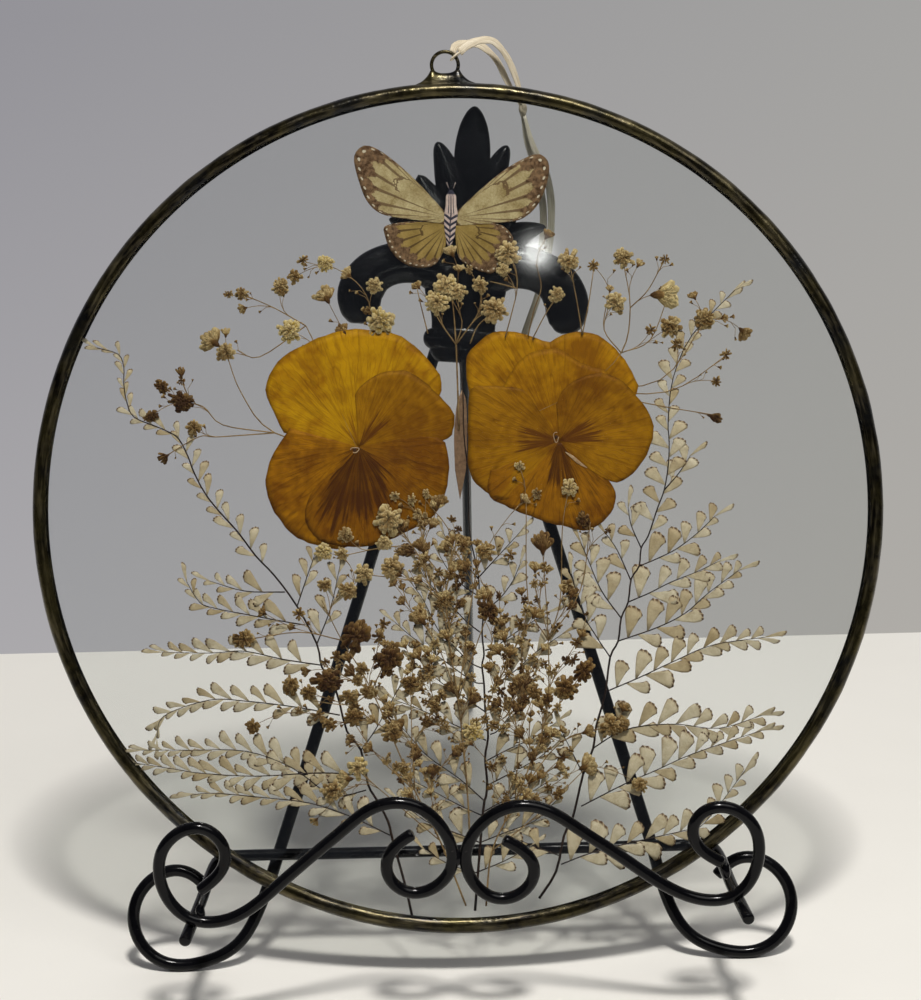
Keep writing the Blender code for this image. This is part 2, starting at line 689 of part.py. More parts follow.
def main():
    clear_scene()
    group = collection(PARTS)
    helpers = collection("helpers", hidden=True)
    disc = bpy.data.objects.new("disc_plane", None)
    disc.location = world(0, 0, 0) * MM
    disc.rotation_euler.x = math.pi / 2 - LEAN
    group.objects.link(disc)

    half_gap = PANE_GAP / 2 + GLASS_THICKNESS / 2
    pane("front_glass", half_gap, group, disc)
    pane("back_glass", -half_gap, group, disc)
    solder_rim(group, disc)
    hanging_ring(group, helpers, disc)

    iron = paint("black_iron", (0.012, 0.012, 0.014), 0.28)
    leg("left_leg", -1, group, iron)
    leg("right_leg", 1, group, iron)
    rear_leg(group, iron)
    support_rod(group, iron)
    scroll("left_scroll", LEFT_SCROLL, group, iron)
    scroll("right_scroll", RIGHT_SCROLL, group, iron)
    finial(group, iron, disc)

    ribbon(group, paint("raffia", (0.78, 0.7, 0.56), 0.5))

    butterfly(group, helpers, disc)
    golden = paint("pansy_petal", (0.62, 0.33, 0.03), 0.55)
    petals("left_pansy", LEFT_PANSY, group, golden, disc)
    petals("right_pansy", RIGHT_PANSY, group, golden, disc)
    petals("browned_petal", BROWNED_PETAL, group, paint("browned_petal", (0.3, 0.2, 0.1), 0.6), disc)
    leaf = paint("fern_leaf", (0.48, 0.4, 0.27), 0.65)
    frond("left_frond", LEFT_FROND, LEFT_FROND_PINNAE, group, leaf, disc)
    frond("centre_frond", CENTRE_FROND, CENTRE_FROND_PINNAE, group, leaf, disc)
    frond("right_frond", RIGHT_FROND, RIGHT_FROND_PINNAE, group, leaf, disc)
    breath = paint("dried_blossom", (0.5, 0.38, 0.2), 0.7)
    for name, (stem, head, twigs) in SPRIGS.items():
        sprig(name, stem, head, twigs, group, breath, disc)


main()
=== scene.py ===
"""Looks of the pressed flower frame: two glass panes in a soldered rim, leaning on an iron easel.

The disc's pieces are modelled in its own plane, in millimetres (x to the right, y up along the
disc, z towards the viewer), and set on the leaning disc when they are finished. Everything else
is in the row frame, in metres.
"""

import math
import random

import bmesh
import bpy
import numpy as np
from mathutils import Matrix, Vector, noise


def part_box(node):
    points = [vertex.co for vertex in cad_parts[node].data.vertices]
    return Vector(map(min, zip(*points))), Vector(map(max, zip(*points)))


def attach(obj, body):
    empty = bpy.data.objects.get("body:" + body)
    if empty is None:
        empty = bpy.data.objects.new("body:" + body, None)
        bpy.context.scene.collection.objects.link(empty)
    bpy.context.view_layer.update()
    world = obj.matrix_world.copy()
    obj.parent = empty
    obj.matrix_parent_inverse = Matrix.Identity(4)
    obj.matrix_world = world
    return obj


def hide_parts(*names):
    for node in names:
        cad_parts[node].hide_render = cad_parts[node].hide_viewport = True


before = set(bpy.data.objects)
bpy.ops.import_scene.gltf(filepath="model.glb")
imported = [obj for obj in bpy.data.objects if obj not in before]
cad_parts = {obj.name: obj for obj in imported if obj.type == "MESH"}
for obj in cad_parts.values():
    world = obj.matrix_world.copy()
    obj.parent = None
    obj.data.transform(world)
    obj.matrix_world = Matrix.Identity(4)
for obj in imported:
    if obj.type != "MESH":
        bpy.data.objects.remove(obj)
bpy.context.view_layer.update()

MM = 0.001
SEED = 12

# Disc, in millimetres
LEAN = math.radians(17.0)
DISC_RADIUS = 127.0
RIM_FACE = 4.4  # width of the solder seen from the front
RIM_HALF_DEPTH = 3.6
PANE_SEAT = 2.8  # from the middle of the disc to the inside of the rim's lips
PANE_POCKET = 125.5
RING_X, RING_Y = -0.8, 132.3
RING_RADIUS = 4.0
RING_WIRE = 1.1
MOUND_THICKNESS = 3.4
# Half of the mound's outline: out from its middle, and height over the rim
MOUND_PROFILE = (
    (0.0, 2.9), (1.4, 3.0), (2.6, 3.4), (3.5, 4.1), (4.3, 4.0), (4.9, 2.9), (5.8, 1.8), (7.2, 0.7),
    (9.4, -0.15),
)

# The specimens are placed by the pixels of a straight front view of the disc
DISC_PIXELS = 850.0
DISC_CENTRE_PIXEL = (458.0, 508.0)
VIEW_ROLL = math.radians(1.35)
MM_PER_PIXEL = 2 * DISC_RADIUS / DISC_PIXELS

# Layers between the panes, in millimetres from the middle of the disc
FERN_LAYER = -0.62
PETAL_LAYER = -0.2
PETAL_STEP = 0.08  # from one petal to the next over it
PETAL_THICKNESS = 0.05
WING_LAYER = -0.1
SPRIG_LAYERS = {
    "sprig_upper_left": -0.4, "sprig_top": 0.5, "sprig_upper_right": -0.4,
    "sprig_lower_left": 0.32, "sprig_middle": 0.46, "sprig_lower_right": 0.6,
}
BIG_HEAD = 2.2  # the radius of a blossom head, in millimetres, from which it is a full one


def middle_of(node):
    low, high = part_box(node)
    return (Vector(low) + Vector(high)) / 2


DISC_CENTRE = middle_of("solder_rim")
DISC = Matrix.Translation(DISC_CENTRE) @ Matrix.Rotation(math.pi / 2 - LEAN, 4, "X")
DISC_IN_MM = DISC @ Matrix.Scale(MM, 4)


def at(pixel):
    """Pixel of the straight front view to (x, y) in the disc's plane, in millimetres."""
    dx = pixel[0] - DISC_CENTRE_PIXEL[0]
    dy = pixel[1] - DISC_CENTRE_PIXEL[1]
    x = dx * math.cos(VIEW_ROLL) - dy * math.sin(VIEW_ROLL)
    y = -dx * math.sin(VIEW_ROLL) - dy * math.cos(VIEW_ROLL)
    return Vector((x, y)) * MM_PER_PIXEL


def on_disc(x, y, behind=0.0):
    """Point of the leaning disc, in millimetres, to the row frame."""
    return DISC_IN_MM @ Vector((x, y, -behind))


def smooth(points, steps):
    """Points of a smooth curve through the given ones, with this many steps between two of them."""
    knots = [Vector(p) for p in points]
    knots = [knots[0] * 2 - knots[1], *knots, knots[-1] * 2 - knots[-2]]
    curve = []
    for a, b, c, d in zip(knots, knots[1:], knots[2:], knots[3:]):
        for step in range(steps):
            t = step / steps
            bend = (2 * a - 5 * b + 4 * c - d) * t**2
            sway = (3 * b - a - 3 * c + d) * t**3
            curve.append(0.5 * (2 * b + (c - a) * t + bend + sway))
    curve.append(knots[-2])
    return curve


def length_of(route):
    return sum((b - a).length for a, b in zip(route, route[1:]))


def evenly(route, count):
    """The same line as this many points, an equal distance apart."""
    gaps = np.cumsum([0.0] + [(b - a).length for a, b in zip(route, route[1:])])
    wanted = np.linspace(0, gaps[-1], count)
    axes = [np.interp(wanted, gaps, [p[i] for p in route]) for i in range(len(route[0]))]
    return [Vector(p) for p in zip(*axes)]


def mix(a, b, t):
    return a + (b - a) * t


def moved(*by):
    return Matrix.Translation(by)


def turned(angle, axis="Z"):
    return Matrix.Rotation(angle, 4, axis)


def sized(*by):
    return Matrix.Diagonal((*by, 1))


# Modelling


def softened(shape):
    for face in shape.faces:
        face.smooth = True


def spun(shape, edges, steps):
    """Turns a closed section once round the z axis."""
    bmesh.ops.spin(
        shape, geom=edges, cent=(0, 0, 0), axis=(0, 0, 1), angle=math.tau, steps=steps, use_merge=True,
    )
    bmesh.ops.recalc_face_normals(shape, faces=shape.faces)


def drawn_bar(route, widths, facing, depths=None, sides=8):
    """A bar with closed ends, drawn along a route. Widths and depths are half sizes at each point,
    and the depth lies along the facing direction."""
    depths = depths or widths
    shape = bmesh.new()
    bmesh.ops.create_cone(shape, cap_ends=True, segments=sides, radius1=1, radius2=1, depth=1)
    long_edges = [e for e in shape.edges if abs(e.verts[0].co.z - e.verts[1].co.z) > 0.5]
    bmesh.ops.subdivide_edges(shape, edges=long_edges, cuts=len(route) - 2)
    last = len(route) - 1
    frames = []
    for i, point in enumerate(route):
        along = (route[min(i + 1, last)] - route[max(i - 1, 0)]).normalized()
        side = along.cross(Vector(facing)).normalized()
        frames.append((point, side, side.cross(along)))
    lengths = np.cumsum([0.0] + [(b - a).length for a, b in zip(route, route[1:])])
    shape.loops.layers.uv.new("UVMap")
    uv = shape.loops.layers.uv.active
    for face in shape.faces:
        face.smooth = True
        for loop in face.loops:
            step = round((loop.vert.co.z + 0.5) * last)
            loop[uv].uv = (loop.vert.co.x * 0.5 + 0.5, lengths[step])
    for vert in shape.verts:
        step = round((vert.co.z + 0.5) * last)
        point, side, up = frames[step]
        vert.co = point + side * vert.co.x * widths[step] + up * vert.co.y * depths[step]
    bmesh.ops.recalc_face_normals(shape, faces=shape.faces)
    return shape


def blade(place, across, along, thickness, inward=(0, 0, -1)):
    """A thin closed sheet: a grid whose (u, v), both from 0 to 1, is sent to its place."""
    shape = bmesh.new()
    shape.loops.layers.uv.new("UVMap")
    bmesh.ops.create_grid(shape, x_segments=across, y_segments=along, size=0.5, calc_uvs=True)
    for vert in shape.verts:
        vert.co = place(vert.co.x + 0.5, vert.co.y + 0.5)
    bmesh.ops.remove_doubles(shape, verts=shape.verts, dist=1e-5)
    top = shape.faces[:]
    sunk = bmesh.ops.extrude_face_region(shape, geom=top, use_keep_orig=True)["geom"]
    lowered = [v for v in sunk if isinstance(v, bmesh.types.BMVert)]
    bmesh.ops.translate(shape, vec=Vector(inward) * thickness, verts=lowered)
    for face in (*top, *sunk):
        if isinstance(face, bmesh.types.BMFace):
            face.smooth = True
    bmesh.ops.recalc_face_normals(shape, faces=shape.faces)
    return shape


def form_of(shape):
    """A finished shape, ready to be repeated: its points, faces, the faces' own UVs and their smoothness."""
    shape.verts.index_update()
    uv = shape.loops.layers.uv.active
    points = np.array([v.co[:] for v in shape.verts])
    faces = [tuple(v.index for v in face.verts) for face in shape.faces]
    uvs = [loop[uv].uv[:] if uv else (0.0, 0.0) for face in shape.faces for loop in face.loops]
    soft = [face.smooth for face in shape.faces]
    shape.free()
    return points, faces, uvs, soft


class Gathering:
    """Many small forms joined into one mesh. Each keeps its material and its own tone."""

    def __init__(self):
        self.points = []
        self.faces = []
        self.uvs = []
        self.tones = []
        self.slots = []
        self.soft = []
        self.count = 0

    def add(self, form, matrix=None, tone=0.5, slot=0):
        points, faces, uvs, soft = form
        if matrix is not None:
            turn = np.array(matrix)
            points = points @ turn[:3, :3].T + turn[:3, 3]
        self.points.append(points)
        self.faces.extend(tuple(i + self.count for i in face) for face in faces)
        self.uvs.extend(uvs)
        self.tones.append(np.full(len(points), tone))
        self.slots.extend([slot] * len(faces))
        self.soft.extend(soft)
        self.count += len(points)

    def mesh(self, name, materials, matrix):
        mesh = bpy.data.meshes.new(name)
        points = np.concatenate(self.points)
        turn = np.array(matrix)
        mesh.from_pydata((points @ turn[:3, :3].T + turn[:3, 3]).tolist(), [], self.faces)
        mesh.uv_layers.new(name="UVMap").data.foreach_set("uv", np.array(self.uvs).ravel())
        tone = mesh.attributes.new("tone", "FLOAT", "POINT")
        tone.data.foreach_set("value", np.concatenate(self.tones))
        for material in materials:
            mesh.materials.append(material)
        mesh.polygons.foreach_set("material_index", self.slots)
        mesh.polygons.foreach_set("use_smooth", self.soft)
        mesh.update()
        return mesh

    def stand_in(self, name, materials, node_name, slot, matrix=DISC_IN_MM):
        """The forms as one finished piece that stands for this CAD node."""
        stand_in(name, self.mesh(name, materials, matrix), [node_name])


def show(name, data):
    piece = bpy.data.objects.new(name, data)
    bpy.context.scene.collection.objects.link(piece)
    return piece


def stand_in(name, mesh, nodes):
    """A finished piece that stands for these CAD nodes."""
    piece = show(name, mesh)
    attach(piece, "root")
    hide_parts(*nodes)
    return piece


def mesh_of(shape, name, material, matrix=None):
    if matrix is not None:
        bmesh.ops.transform(shape, matrix=matrix, verts=shape.verts)
    softened(shape)
    mesh = bpy.data.meshes.new(name)
    shape.to_mesh(mesh)
    shape.free()
    mesh.materials.append(material)
    return mesh


# Finishes


def plug(value, socket):
    """Puts into a socket what another node gives, or a plain number, place or colour."""
    value = getattr(value, "socket", value)
    if isinstance(value, bpy.types.NodeSocket):
        socket.id_data.links.new(value, socket)
    elif socket.type == "RGBA":
        socket.default_value = (*value, 1.0)
    else:
        socket.default_value = value


def node(tree, kind, inputs=None, **settings):
    made = tree.nodes.new("ShaderNode" + kind)
    for key, value in settings.items():
        setattr(made, key, value)
    for key, value in (inputs or {}).items():
        plug(value, made.inputs[key])
    return made


class Shade:
    """A value, place or colour that changes over a surface. Each sum with it adds a shader node."""

    def __init__(self, socket):
        self.socket = socket
        self.tree = socket.id_data

    def maths(self, operation, *others):
        inputs = dict(enumerate((self, *others)))
        return Shade(node(self.tree, "Math", inputs, operation=operation).outputs[0])

    def __add__(self, other):
        return self.maths("ADD", other)

    def __sub__(self, other):
        return self.maths("SUBTRACT", other)

    def __rsub__(self, whole):
        return Shade(node(self.tree, "Math", {0: whole, 1: self}, operation="SUBTRACT").outputs[0])

    def __mul__(self, other):
        return self.maths("MULTIPLY", other)

    def __truediv__(self, other):
        return self.maths("DIVIDE", other)

    def most(self, other):
        """The greater of the two."""
        return self.maths("MAXIMUM", other)

    def below(self, limit):
        """1 where the value is below the limit, and 0 elsewhere."""
        return self.maths("LESS_THAN", limit)

    def off(self, middle):
        """How far the value is from this middle."""
        return (self - middle).maths("ABSOLUTE")

    def beat(self):
        """How far the value is from the middle of its own whole step."""
        return self.maths("FRACT").off(0.5)

    def clamped(self):
        return Shade(node(self.tree, "Clamp", {"Value": self}).outputs[0])

    def spread(self, low, high, to_low=0.0, to_high=1.0):
        """The value stretched, so that low becomes to_low and high becomes to_high, and held between them."""
        ends = {"Value": self, "From Min": low, "From Max": high, "To Min": to_low, "To Max": to_high}
        return Shade(node(self.tree, "MapRange", ends).outputs[0])


def parts_of(place):
    """The three parts of a place. On a UV map the first lies across the form and the second along it."""
    return [Shade(part) for part in node(place.tree, "SeparateXYZ", {"Vector": place}).outputs]


def clouds(place, scale, detail, distortion=0.0):
    """Soft noise over a surface."""
    inputs = {"Vector": place, "Scale": scale, "Detail": detail, "Distortion": distortion}
    return Shade(node(place.tree, "TexNoise", inputs).outputs["Fac"])


def drawn_out(uv, across, along):
    """A UV map stretched so that a pattern on it runs in long lines."""
    return Shade(node(uv.tree, "Mapping", {"Vector": uv, "Scale": (across, along, 1.0)}).outputs[0])


def ramp(value, *stops):
    """Colours along a value: stops are (place, colour)."""
    made = node(value.tree, "ValToRGB", {"Fac": value})
    for i, (place, colour) in enumerate(stops):
        stop = made.color_ramp.elements[i] if i < 2 else made.color_ramp.elements.new(place)
        stop.position = place
        stop.color = (*colour, 1.0)
    return Shade(made.outputs["Color"])


def blended(share, first, second, kind="MIX"):
    """The second colour laid over the first, as thickly as the share says."""
    tree = next(part.tree for part in (share, first) if isinstance(part, Shade))
    made = node(tree, "Mix", {"Factor": share, 6: first, 7: second}, data_type="RGBA", blend_type=kind)
    return Shade(made.outputs[2])


def deeper(colour, share):
    """The same colour made darker, or brighter with a share over 1."""
    return tuple(part * share for part in colour)


def effect(name, inputs, outputs):
    """An empty shader group with these named inputs (name, kind, value) and outputs (name, kind)."""
    group = bpy.data.node_groups.new(name, "ShaderNodeTree")
    for label, kind, value in inputs:
        socket = group.interface.new_socket(label, in_out="INPUT", socket_type="NodeSocket" + kind)
        if value is not None:
            socket.default_value = value
    for label, kind in outputs:
        group.interface.new_socket(label, in_out="OUTPUT", socket_type="NodeSocket" + kind)
    given = {socket.name: Shade(socket) for socket in group.nodes.new("NodeGroupInput").outputs}
    return group, given, group.nodes.new("NodeGroupOutput").inputs


def placed(tree, group, **inputs):
    """An effect placed in a material with its own values. Gives the effect's outputs by name."""
    made = node(tree, "Group", inputs, node_tree=group)
    return {socket.name: Shade(socket) for socket in made.outputs}


def mottle_effect():
    """Two colours mixed in soft patches with fine specks, and the height of the fine grain."""
    group, given, out = effect(
        "mottle",
        (("Vector", "Vector", None), ("Scale", "Float", 100.0), ("Contrast", "Float", 1.0),
         ("Dark", "Color", (0, 0, 0, 1)), ("Light", "Color", (1, 1, 1, 1))),
        (("Color", "Color"), ("Mask", "Float"), ("Grain", "Float")),
    )
    patches = clouds(given["Vector"], given["Scale"], 5.0)
    grain = clouds(given["Vector"], given["Scale"] * 7.0, 3.0)
    both = grain * 0.35 + patches * 0.65
    mask = ((both - 0.5) * (given["Contrast"] * 3.0) + 0.5).clamped()
    plug(blended(mask, given["Dark"], given["Light"]), out["Color"])
    plug(mask, out["Mask"])
    plug(grain, out["Grain"])
    return group


def vein_effect():
    """Lines that run from a root to an edge, wavering a little. The UV's u lies across them."""
    group, given, out = effect(
        "veins",
        (("UV", "Vector", None), ("Count", "Float", 20.0), ("Waver", "Float", 0.3), ("Width", "Float", 0.2)),
        (("Mask", "Float"), ("Height", "Float")),
    )
    wavering = (clouds(given["UV"], 5.0, 2.0) - 0.5) * given["Waver"]
    across = parts_of(given["UV"])[0] * given["Count"] + wavering * 4.0
    mask = ((given["Width"] - across.beat()) / given["Width"]).clamped()
    plug(mask, out["Mask"])
    plug(mask.maths("SMOOTH_MAX", 0.0, 0.2), out["Height"])
    return group


MOTTLE = mottle_effect()
VEINS = vein_effect()


def mottled(place, scale, dark, light, contrast=1.0):
    return placed(place.tree, MOTTLE, Vector=place, Scale=scale, Contrast=contrast, Dark=dark, Light=light)


def veined(uv, count, waver, width):
    return placed(uv.tree, VEINS, UV=uv, Count=count, Waver=waver, Width=width)


class Finish:
    """A material in the making. Its colour is laid on coat by coat."""

    def __init__(self, name, roughness=0.5, metallic=0.0, gloss=0.5):
        self.material = bpy.data.materials.new(name)
        self.material.use_nodes = True
        self.tree = self.material.node_tree
        self.shader = self.tree.nodes["Principled BSDF"]
        self.set("Roughness", roughness)
        self.set("Metallic", metallic)
        self.set("Specular IOR Level", gloss)
        places = node(self.tree, "TexCoord").outputs
        self.place = Shade(places["Object"])
        self.uv = Shade(places["UV"])

    def set(self, label, value):
        plug(value, self.shader.inputs[label])

    def tone(self):
        """The tone that each small form of a piece was given."""
        return Shade(node(self.tree, "Attribute", attribute_name="tone").outputs["Fac"])

    def body(self, scale, dark, light, contrast=1.0):
        """The first coat: two colours in soft patches."""
        patches = mottled(self.place, scale, dark, light, contrast)
        self.colour = patches["Color"]
        return patches

    def coat(self, share, colour, kind="MIX"):
        self.colour = blended(share, self.colour, colour, kind)

    def done(self, height, distance, strength, roughness=None):
        """The finished material, with its relief and, where it varies, its roughness."""
        bump = node(self.tree, "Bump", {"Height": height, "Distance": distance, "Strength": strength})
        self.set("Normal", bump.outputs["Normal"])
        self.set("Base Color", self.colour)
        if roughness:
            self.set("Roughness", roughness)
        return self.material


def clear_glass():
    """Clear pane that bends what is seen through it and lets the lamps' light pass."""
    look = Finish("clear_glass")
    look.set("Base Color", (0.985, 0.995, 0.99))
    look.set("IOR", 1.5)
    look.set("Transmission Weight", 1.0)
    look.set("Roughness", clouds(look.place, 22.0, 4.0).spread(0.5, 0.8, 0.0, 0.02))
    through = node(look.tree, "BsdfTransparent", {"Color": (0.895, 0.9, 0.893)}).outputs[0]
    path = node(look.tree, "LightPath").outputs
    light_only = Shade(path["Is Shadow Ray"]).most(path["Is Diffuse Ray"])
    both = node(look.tree, "MixShader", {0: light_only, 1: look.shader.outputs[0], 2: through})
    plug(both.outputs[0], look.tree.nodes["Material Output"].inputs["Surface"])
    return look.material


def patina_solder():
    """Solder gone dark: glossy patina in brown, olive and blue-black clouds, with bronze streaks that run
    round
    the disc: partly rubbed bronze, partly a painted highlight."""
    look = Finish("patina_solder", metallic=0.8, gloss=0.5)
    body = look.body(75.0, (0.006, 0.0045, 0.003), (0.05, 0.041, 0.015), 1.5)
    look.coat(clouds(look.place, 48.0, 3.0).spread(0.5, 0.66, 0, 0.7), (0.012, 0.015, 0.021))
    upright = {"Vector": look.place, "Location": DISC_CENTRE, "Rotation": (math.pi / 2 - LEAN, 0, 0)}
    x, y, z = parts_of(Shade(node(look.tree, "Mapping", upright, vector_type="TEXTURE").outputs[0]))
    away = (x * x + y * y).maths("SQRT")
    run = {"X": x / away * 13.0, "Y": y / away * 13.0, "Z": away * 950.0 + z * 700.0}
    streaks = clouds(Shade(node(look.tree, "CombineXYZ", run).outputs[0]), 1.0, 2.0)
    # the bronze streaks are partly rubbed solder and partly a painted highlight that runs round the rim
    look.coat(streaks.spread(0.5, 0.76, 0, 0.26), (0.33, 0.275, 0.16))
    return look.done(streaks + body["Mask"], 0.00025, 0.35, streaks.spread(0.3, 0.7, 0.2, 0.36))


def black_iron(name, gloss, smoothest, roughest):
    """Gloss black paint on iron, with a slight ripple and specks of dust."""
    look = Finish(name, gloss=gloss)
    body = look.body(60.0, (0.001, 0.001, 0.0013), (0.004, 0.004, 0.0052), 0.8)
    look.coat(clouds(look.place, 900.0, 2.0).spread(0.74, 0.82, 0, 0.3), (0.1, 0.095, 0.09))
    return look.done(body["Grain"], 0.0003, 0.2, body["Mask"].spread(0, 1, smoothest, roughest))


def raffia(name, *shades):
    """Raffia: long fibres, darker and lighter, with a soft sheen."""
    look = Finish(name, 0.45)
    fibres = clouds(drawn_out(look.uv, 14.0, 130.0), 1.0, 3.0)
    look.colour = ramp(fibres, *zip((0.3, 0.5, 0.7), shades))
    return look.done(fibres, 0.00015, 0.8)


def plain_stem(name, dark, light, roughness):
    """A dried stem: colour runs in patches along it, over a fine grain."""
    look = Finish(name, roughness, gloss=0.15)
    return look.done(look.body(160.0, dark, light)["Grain"], 0.00008, 0.6)


def fern_leaflet():
    """Pressed leaflet: cream to tan, fine veins, a darker outline, and brown dashes along its outer edge."""
    look = Finish("fern_leaflet", 0.6, gloss=0.12)
    across, along, _ = parts_of(look.uv)
    look.body(260.0, (0.39, 0.33, 0.215), (0.62, 0.56, 0.42))
    toned = ramp(look.tone(), (0.0, (0.74, 0.66, 0.52)), (0.4, (0.95, 0.92, 0.86)), (1.0, (1.0, 1.0, 1.0)))
    look.coat(1.0, toned, "MULTIPLY")
    lines = veined(look.uv, 9.0, 0.1, 0.16)
    look.coat(lines["Mask"] * 0.2, (0.3, 0.22, 0.12))
    end = along.spread(0.9, 0.95)
    flank = across.off(0.5).spread(0.42, 0.485)
    look.coat(flank.most(end) * 0.45, (0.27, 0.17, 0.085))
    dash = (across * 3.5 + along * 3.0).beat().spread(0.36, 0.28)
    far_side = across.spread(0.93, 0.97) * along.spread(0.45, 0.55)
    look.coat(dash * end.most(far_side) * 0.95, (0.07, 0.034, 0.016))
    return look.done(lines["Height"], 0.00006, 0.5)


def dried_blossom():
    """Dried petal of a small blossom: brown foot, pale edge, and toned from brown to straw yellow."""
    look = Finish("dried_blossom", 0.7, gloss=0.08)
    across, along, _ = parts_of(look.uv)
    tone = look.tone()
    look.colour = ramp(
        tone, (0.0, (0.034, 0.013, 0.003)), (0.3, (0.135, 0.07, 0.017)), (0.55, (0.3, 0.2, 0.078)),
        (0.8, (0.42, 0.31, 0.135)), (1.0, (0.42, 0.29, 0.06)),
    )
    pale = ramp(
        tone, (0.0, (0.09, 0.045, 0.015)), (0.3, (0.3, 0.19, 0.07)), (0.55, (0.58, 0.46, 0.24)),
        (1.0, (0.76, 0.64, 0.34)),
    )
    flank = across.off(0.5).spread(0.3, 0.48, 0, 0.7)
    look.coat(flank.most(along.spread(0.72, 0.96)), pale)
    specks = mottled(look.place, 900.0, (0.55, 0.5, 0.42), (1.0, 1.0, 1.0), 0.9)
    look.coat(1.0, specks["Color"], "MULTIPLY")
    look.coat(along.spread(0.66, 0.15, 0, 0.9), (0.05, 0.024, 0.008))
    return look.done(specks["Grain"], 0.00005, 0.6)


def pansy_petal(name, base, edge, vein, blotch, blotch_reach, fan=0.5, aim=0.5, veins=34.0, vein_share=0.45):
    """Pressed pansy petal: cloudy golden body, veins and creases that fan from the root, and a brown blotch.
    The blotch points to the place that aim gives, from one side of the petal, 0, to the other, 1."""
    look = Finish(name, 0.5, gloss=0.05)
    across, along, _ = parts_of(look.uv)
    body = look.body(44.0, base, edge, 2.0)
    # the brighter patches of this noise are a painted glow, light shining through thin spots of the petal
    glow = clouds(look.place, 70.0, 4.0, 0.6)
    look.coat(glow.spread(0.54, 0.66, 0, 0.6), deeper(edge, 1.2))
    look.coat(glow.spread(0.44, 0.32, 0, 0.5), vein)
    lines = veined(look.uv, veins, 0.9, 0.12)
    look.coat(lines["Mask"] * along.spread(0.3, 0.9, 1.0, 0.3) * vein_share, vein)
    streaks = clouds(drawn_out(look.uv, 46.0, 2.6), 1.0, 6.0, 0.9)
    look.coat(streaks.spread(0.5, 0.68, 0, 0.6), vein)
    folds = clouds(drawn_out(look.uv, 15.0, 0.8), 1.0, 2.0, 0.2)
    look.coat(folds.off(0.5).spread(0.014, 0.002, 0, 0.3), deeper(vein, 0.6))
    ragged = clouds(drawn_out(look.uv, 42.0, 1.6), 1.0, 4.0)
    sideways = (across.off(aim) - fan * 0.4).most(0.0) * (1.1 / fan)
    reach = (ragged - 0.5) * 1.05 + blotch_reach
    patch = (reach - sideways - along).spread(-0.03, 0.1, 0, 0.9)
    whiskers = ragged.spread(0.36, 0.56, 0.55, 1.0)
    look.coat(patch * whiskers, blotch)
    look.coat(along.spread(0.965, 1.0, 0, 0.5), deeper(base, 0.4))
    return look.done(lines["Height"] + folds, 0.0001, 0.6, body["Grain"].spread(0, 1, 0.4, 0.65))


def butterfly_wing(name, cells, cell_edge, vein_colour, cell_end, tip):
    """Wing: pale cells between brown veins, one long cell near the root, brown tip and border, and pale dots.
    The tip is how far out the brown starts at each place round the edge."""
    look = Finish(name, 0.7, gloss=0.08)
    across, along, _ = parts_of(look.uv)
    look.body(260.0, cells, cell_edge, 1.1)

    def to_next(count):
        return 0.5 - (across * count).beat()

    to_vein = to_next(12.0)
    ragged = (clouds(look.place, 900.0, 2.0) - 0.5) * 0.16
    off_cell = across.off(0.35)
    in_cell = along.below(cell_end) * off_cell.below(0.2)
    vein = ((along * 0.1 + 0.08 - to_vein) * 18.0).clamped() * (1.0 - in_cell)
    bar = along.off(ragged + cell_end).below(0.02) * off_cell.below(0.18)
    look.coat(vein.most(bar) * 0.8, vein_colour)
    start = ramp(across, *((place, (value, value, value)) for place, value in tip))
    border_line = to_vein * 0.2 + (start + ragged)
    border = (along - (border_line - 0.05)).spread(0.0, 0.03)
    brown = mottled(look.place, 800.0, (0.05, 0.024, 0.01), (0.22, 0.135, 0.07), 1.6)["Color"]
    look.coat(border, brown)
    look.coat(across.spread(0.05, 0.02), brown)
    sideways = (0.5 - to_next(24.0)) / 0.2
    outward = (along - 0.95) / 0.016
    dot = (sideways * sideways + outward * outward).spread(1.0, 0.5)
    look.coat(dot * border, (0.55, 0.5, 0.38))
    return look.done(vein, 0.0001, 0.5)


def insect_body():
    """Body: pale pink, with long dark lines on its chest and chevrons behind it."""
    look = Finish("insect_body", 0.6, gloss=0.15)
    across, along, _ = parts_of(look.uv)
    body = look.body(900.0, (0.42, 0.31, 0.27), (0.62, 0.5, 0.44))
    off_middle = across.off(0.5)
    chevrons = (off_middle * 1.6 + along * 0.55).maths("FRACT").spread(0.45, 0.55)
    chest = along.spread(7.4, 6.6)
    side_line = off_middle.off(0.2).spread(0.05, 0.025)
    brow = along.spread(1.4, 1.0)
    spine = off_middle.spread(0.07, 0.03)
    front = chest * side_line.most(brow)
    rear = chevrons * (1.0 - chest)
    look.coat(front.most(rear).most(spine), (0.02, 0.02, 0.035))
    return look.done(body["Grain"], 0.00008, 0.6)


def tabletop():
    """The pale surface that the easel stands on."""
    look = Finish("tabletop", 0.45)
    body = look.body(4.0, (0.78, 0.765, 0.72), (0.83, 0.815, 0.77), 0.6)
    return look.done(body["Grain"], 0.0005, 0.05)


# Camera, lights and table


VIEW_DISTANCE = 0.75
LENS, SENSOR_WIDTH = 98.19, 36.0
PHOTO_WIDTH = 921
SHIFT_IN_PIXELS = (2.5, 8.0)
TABLE_HALF_WIDTH, TABLE_HALF_DEPTH, TABLE_BACK = 1.5, 0.849, 0.198


def camera():
    """Looks straight at the disc's front, a little turned, as the photo does."""
    data = bpy.data.cameras.new("camera")
    data.sensor_fit = "HORIZONTAL"
    data.sensor_width = SENSOR_WIDTH
    data.lens = LENS
    data.shift_x, data.shift_y = (shift / PHOTO_WIDTH for shift in SHIFT_IN_PIXELS)
    data.clip_start = 0.01
    made = show("camera", data)
    made.matrix_world = DISC @ moved(0, 0, VIEW_DISTANCE) @ turned(-VIEW_ROLL)
    bpy.context.scene.camera = made


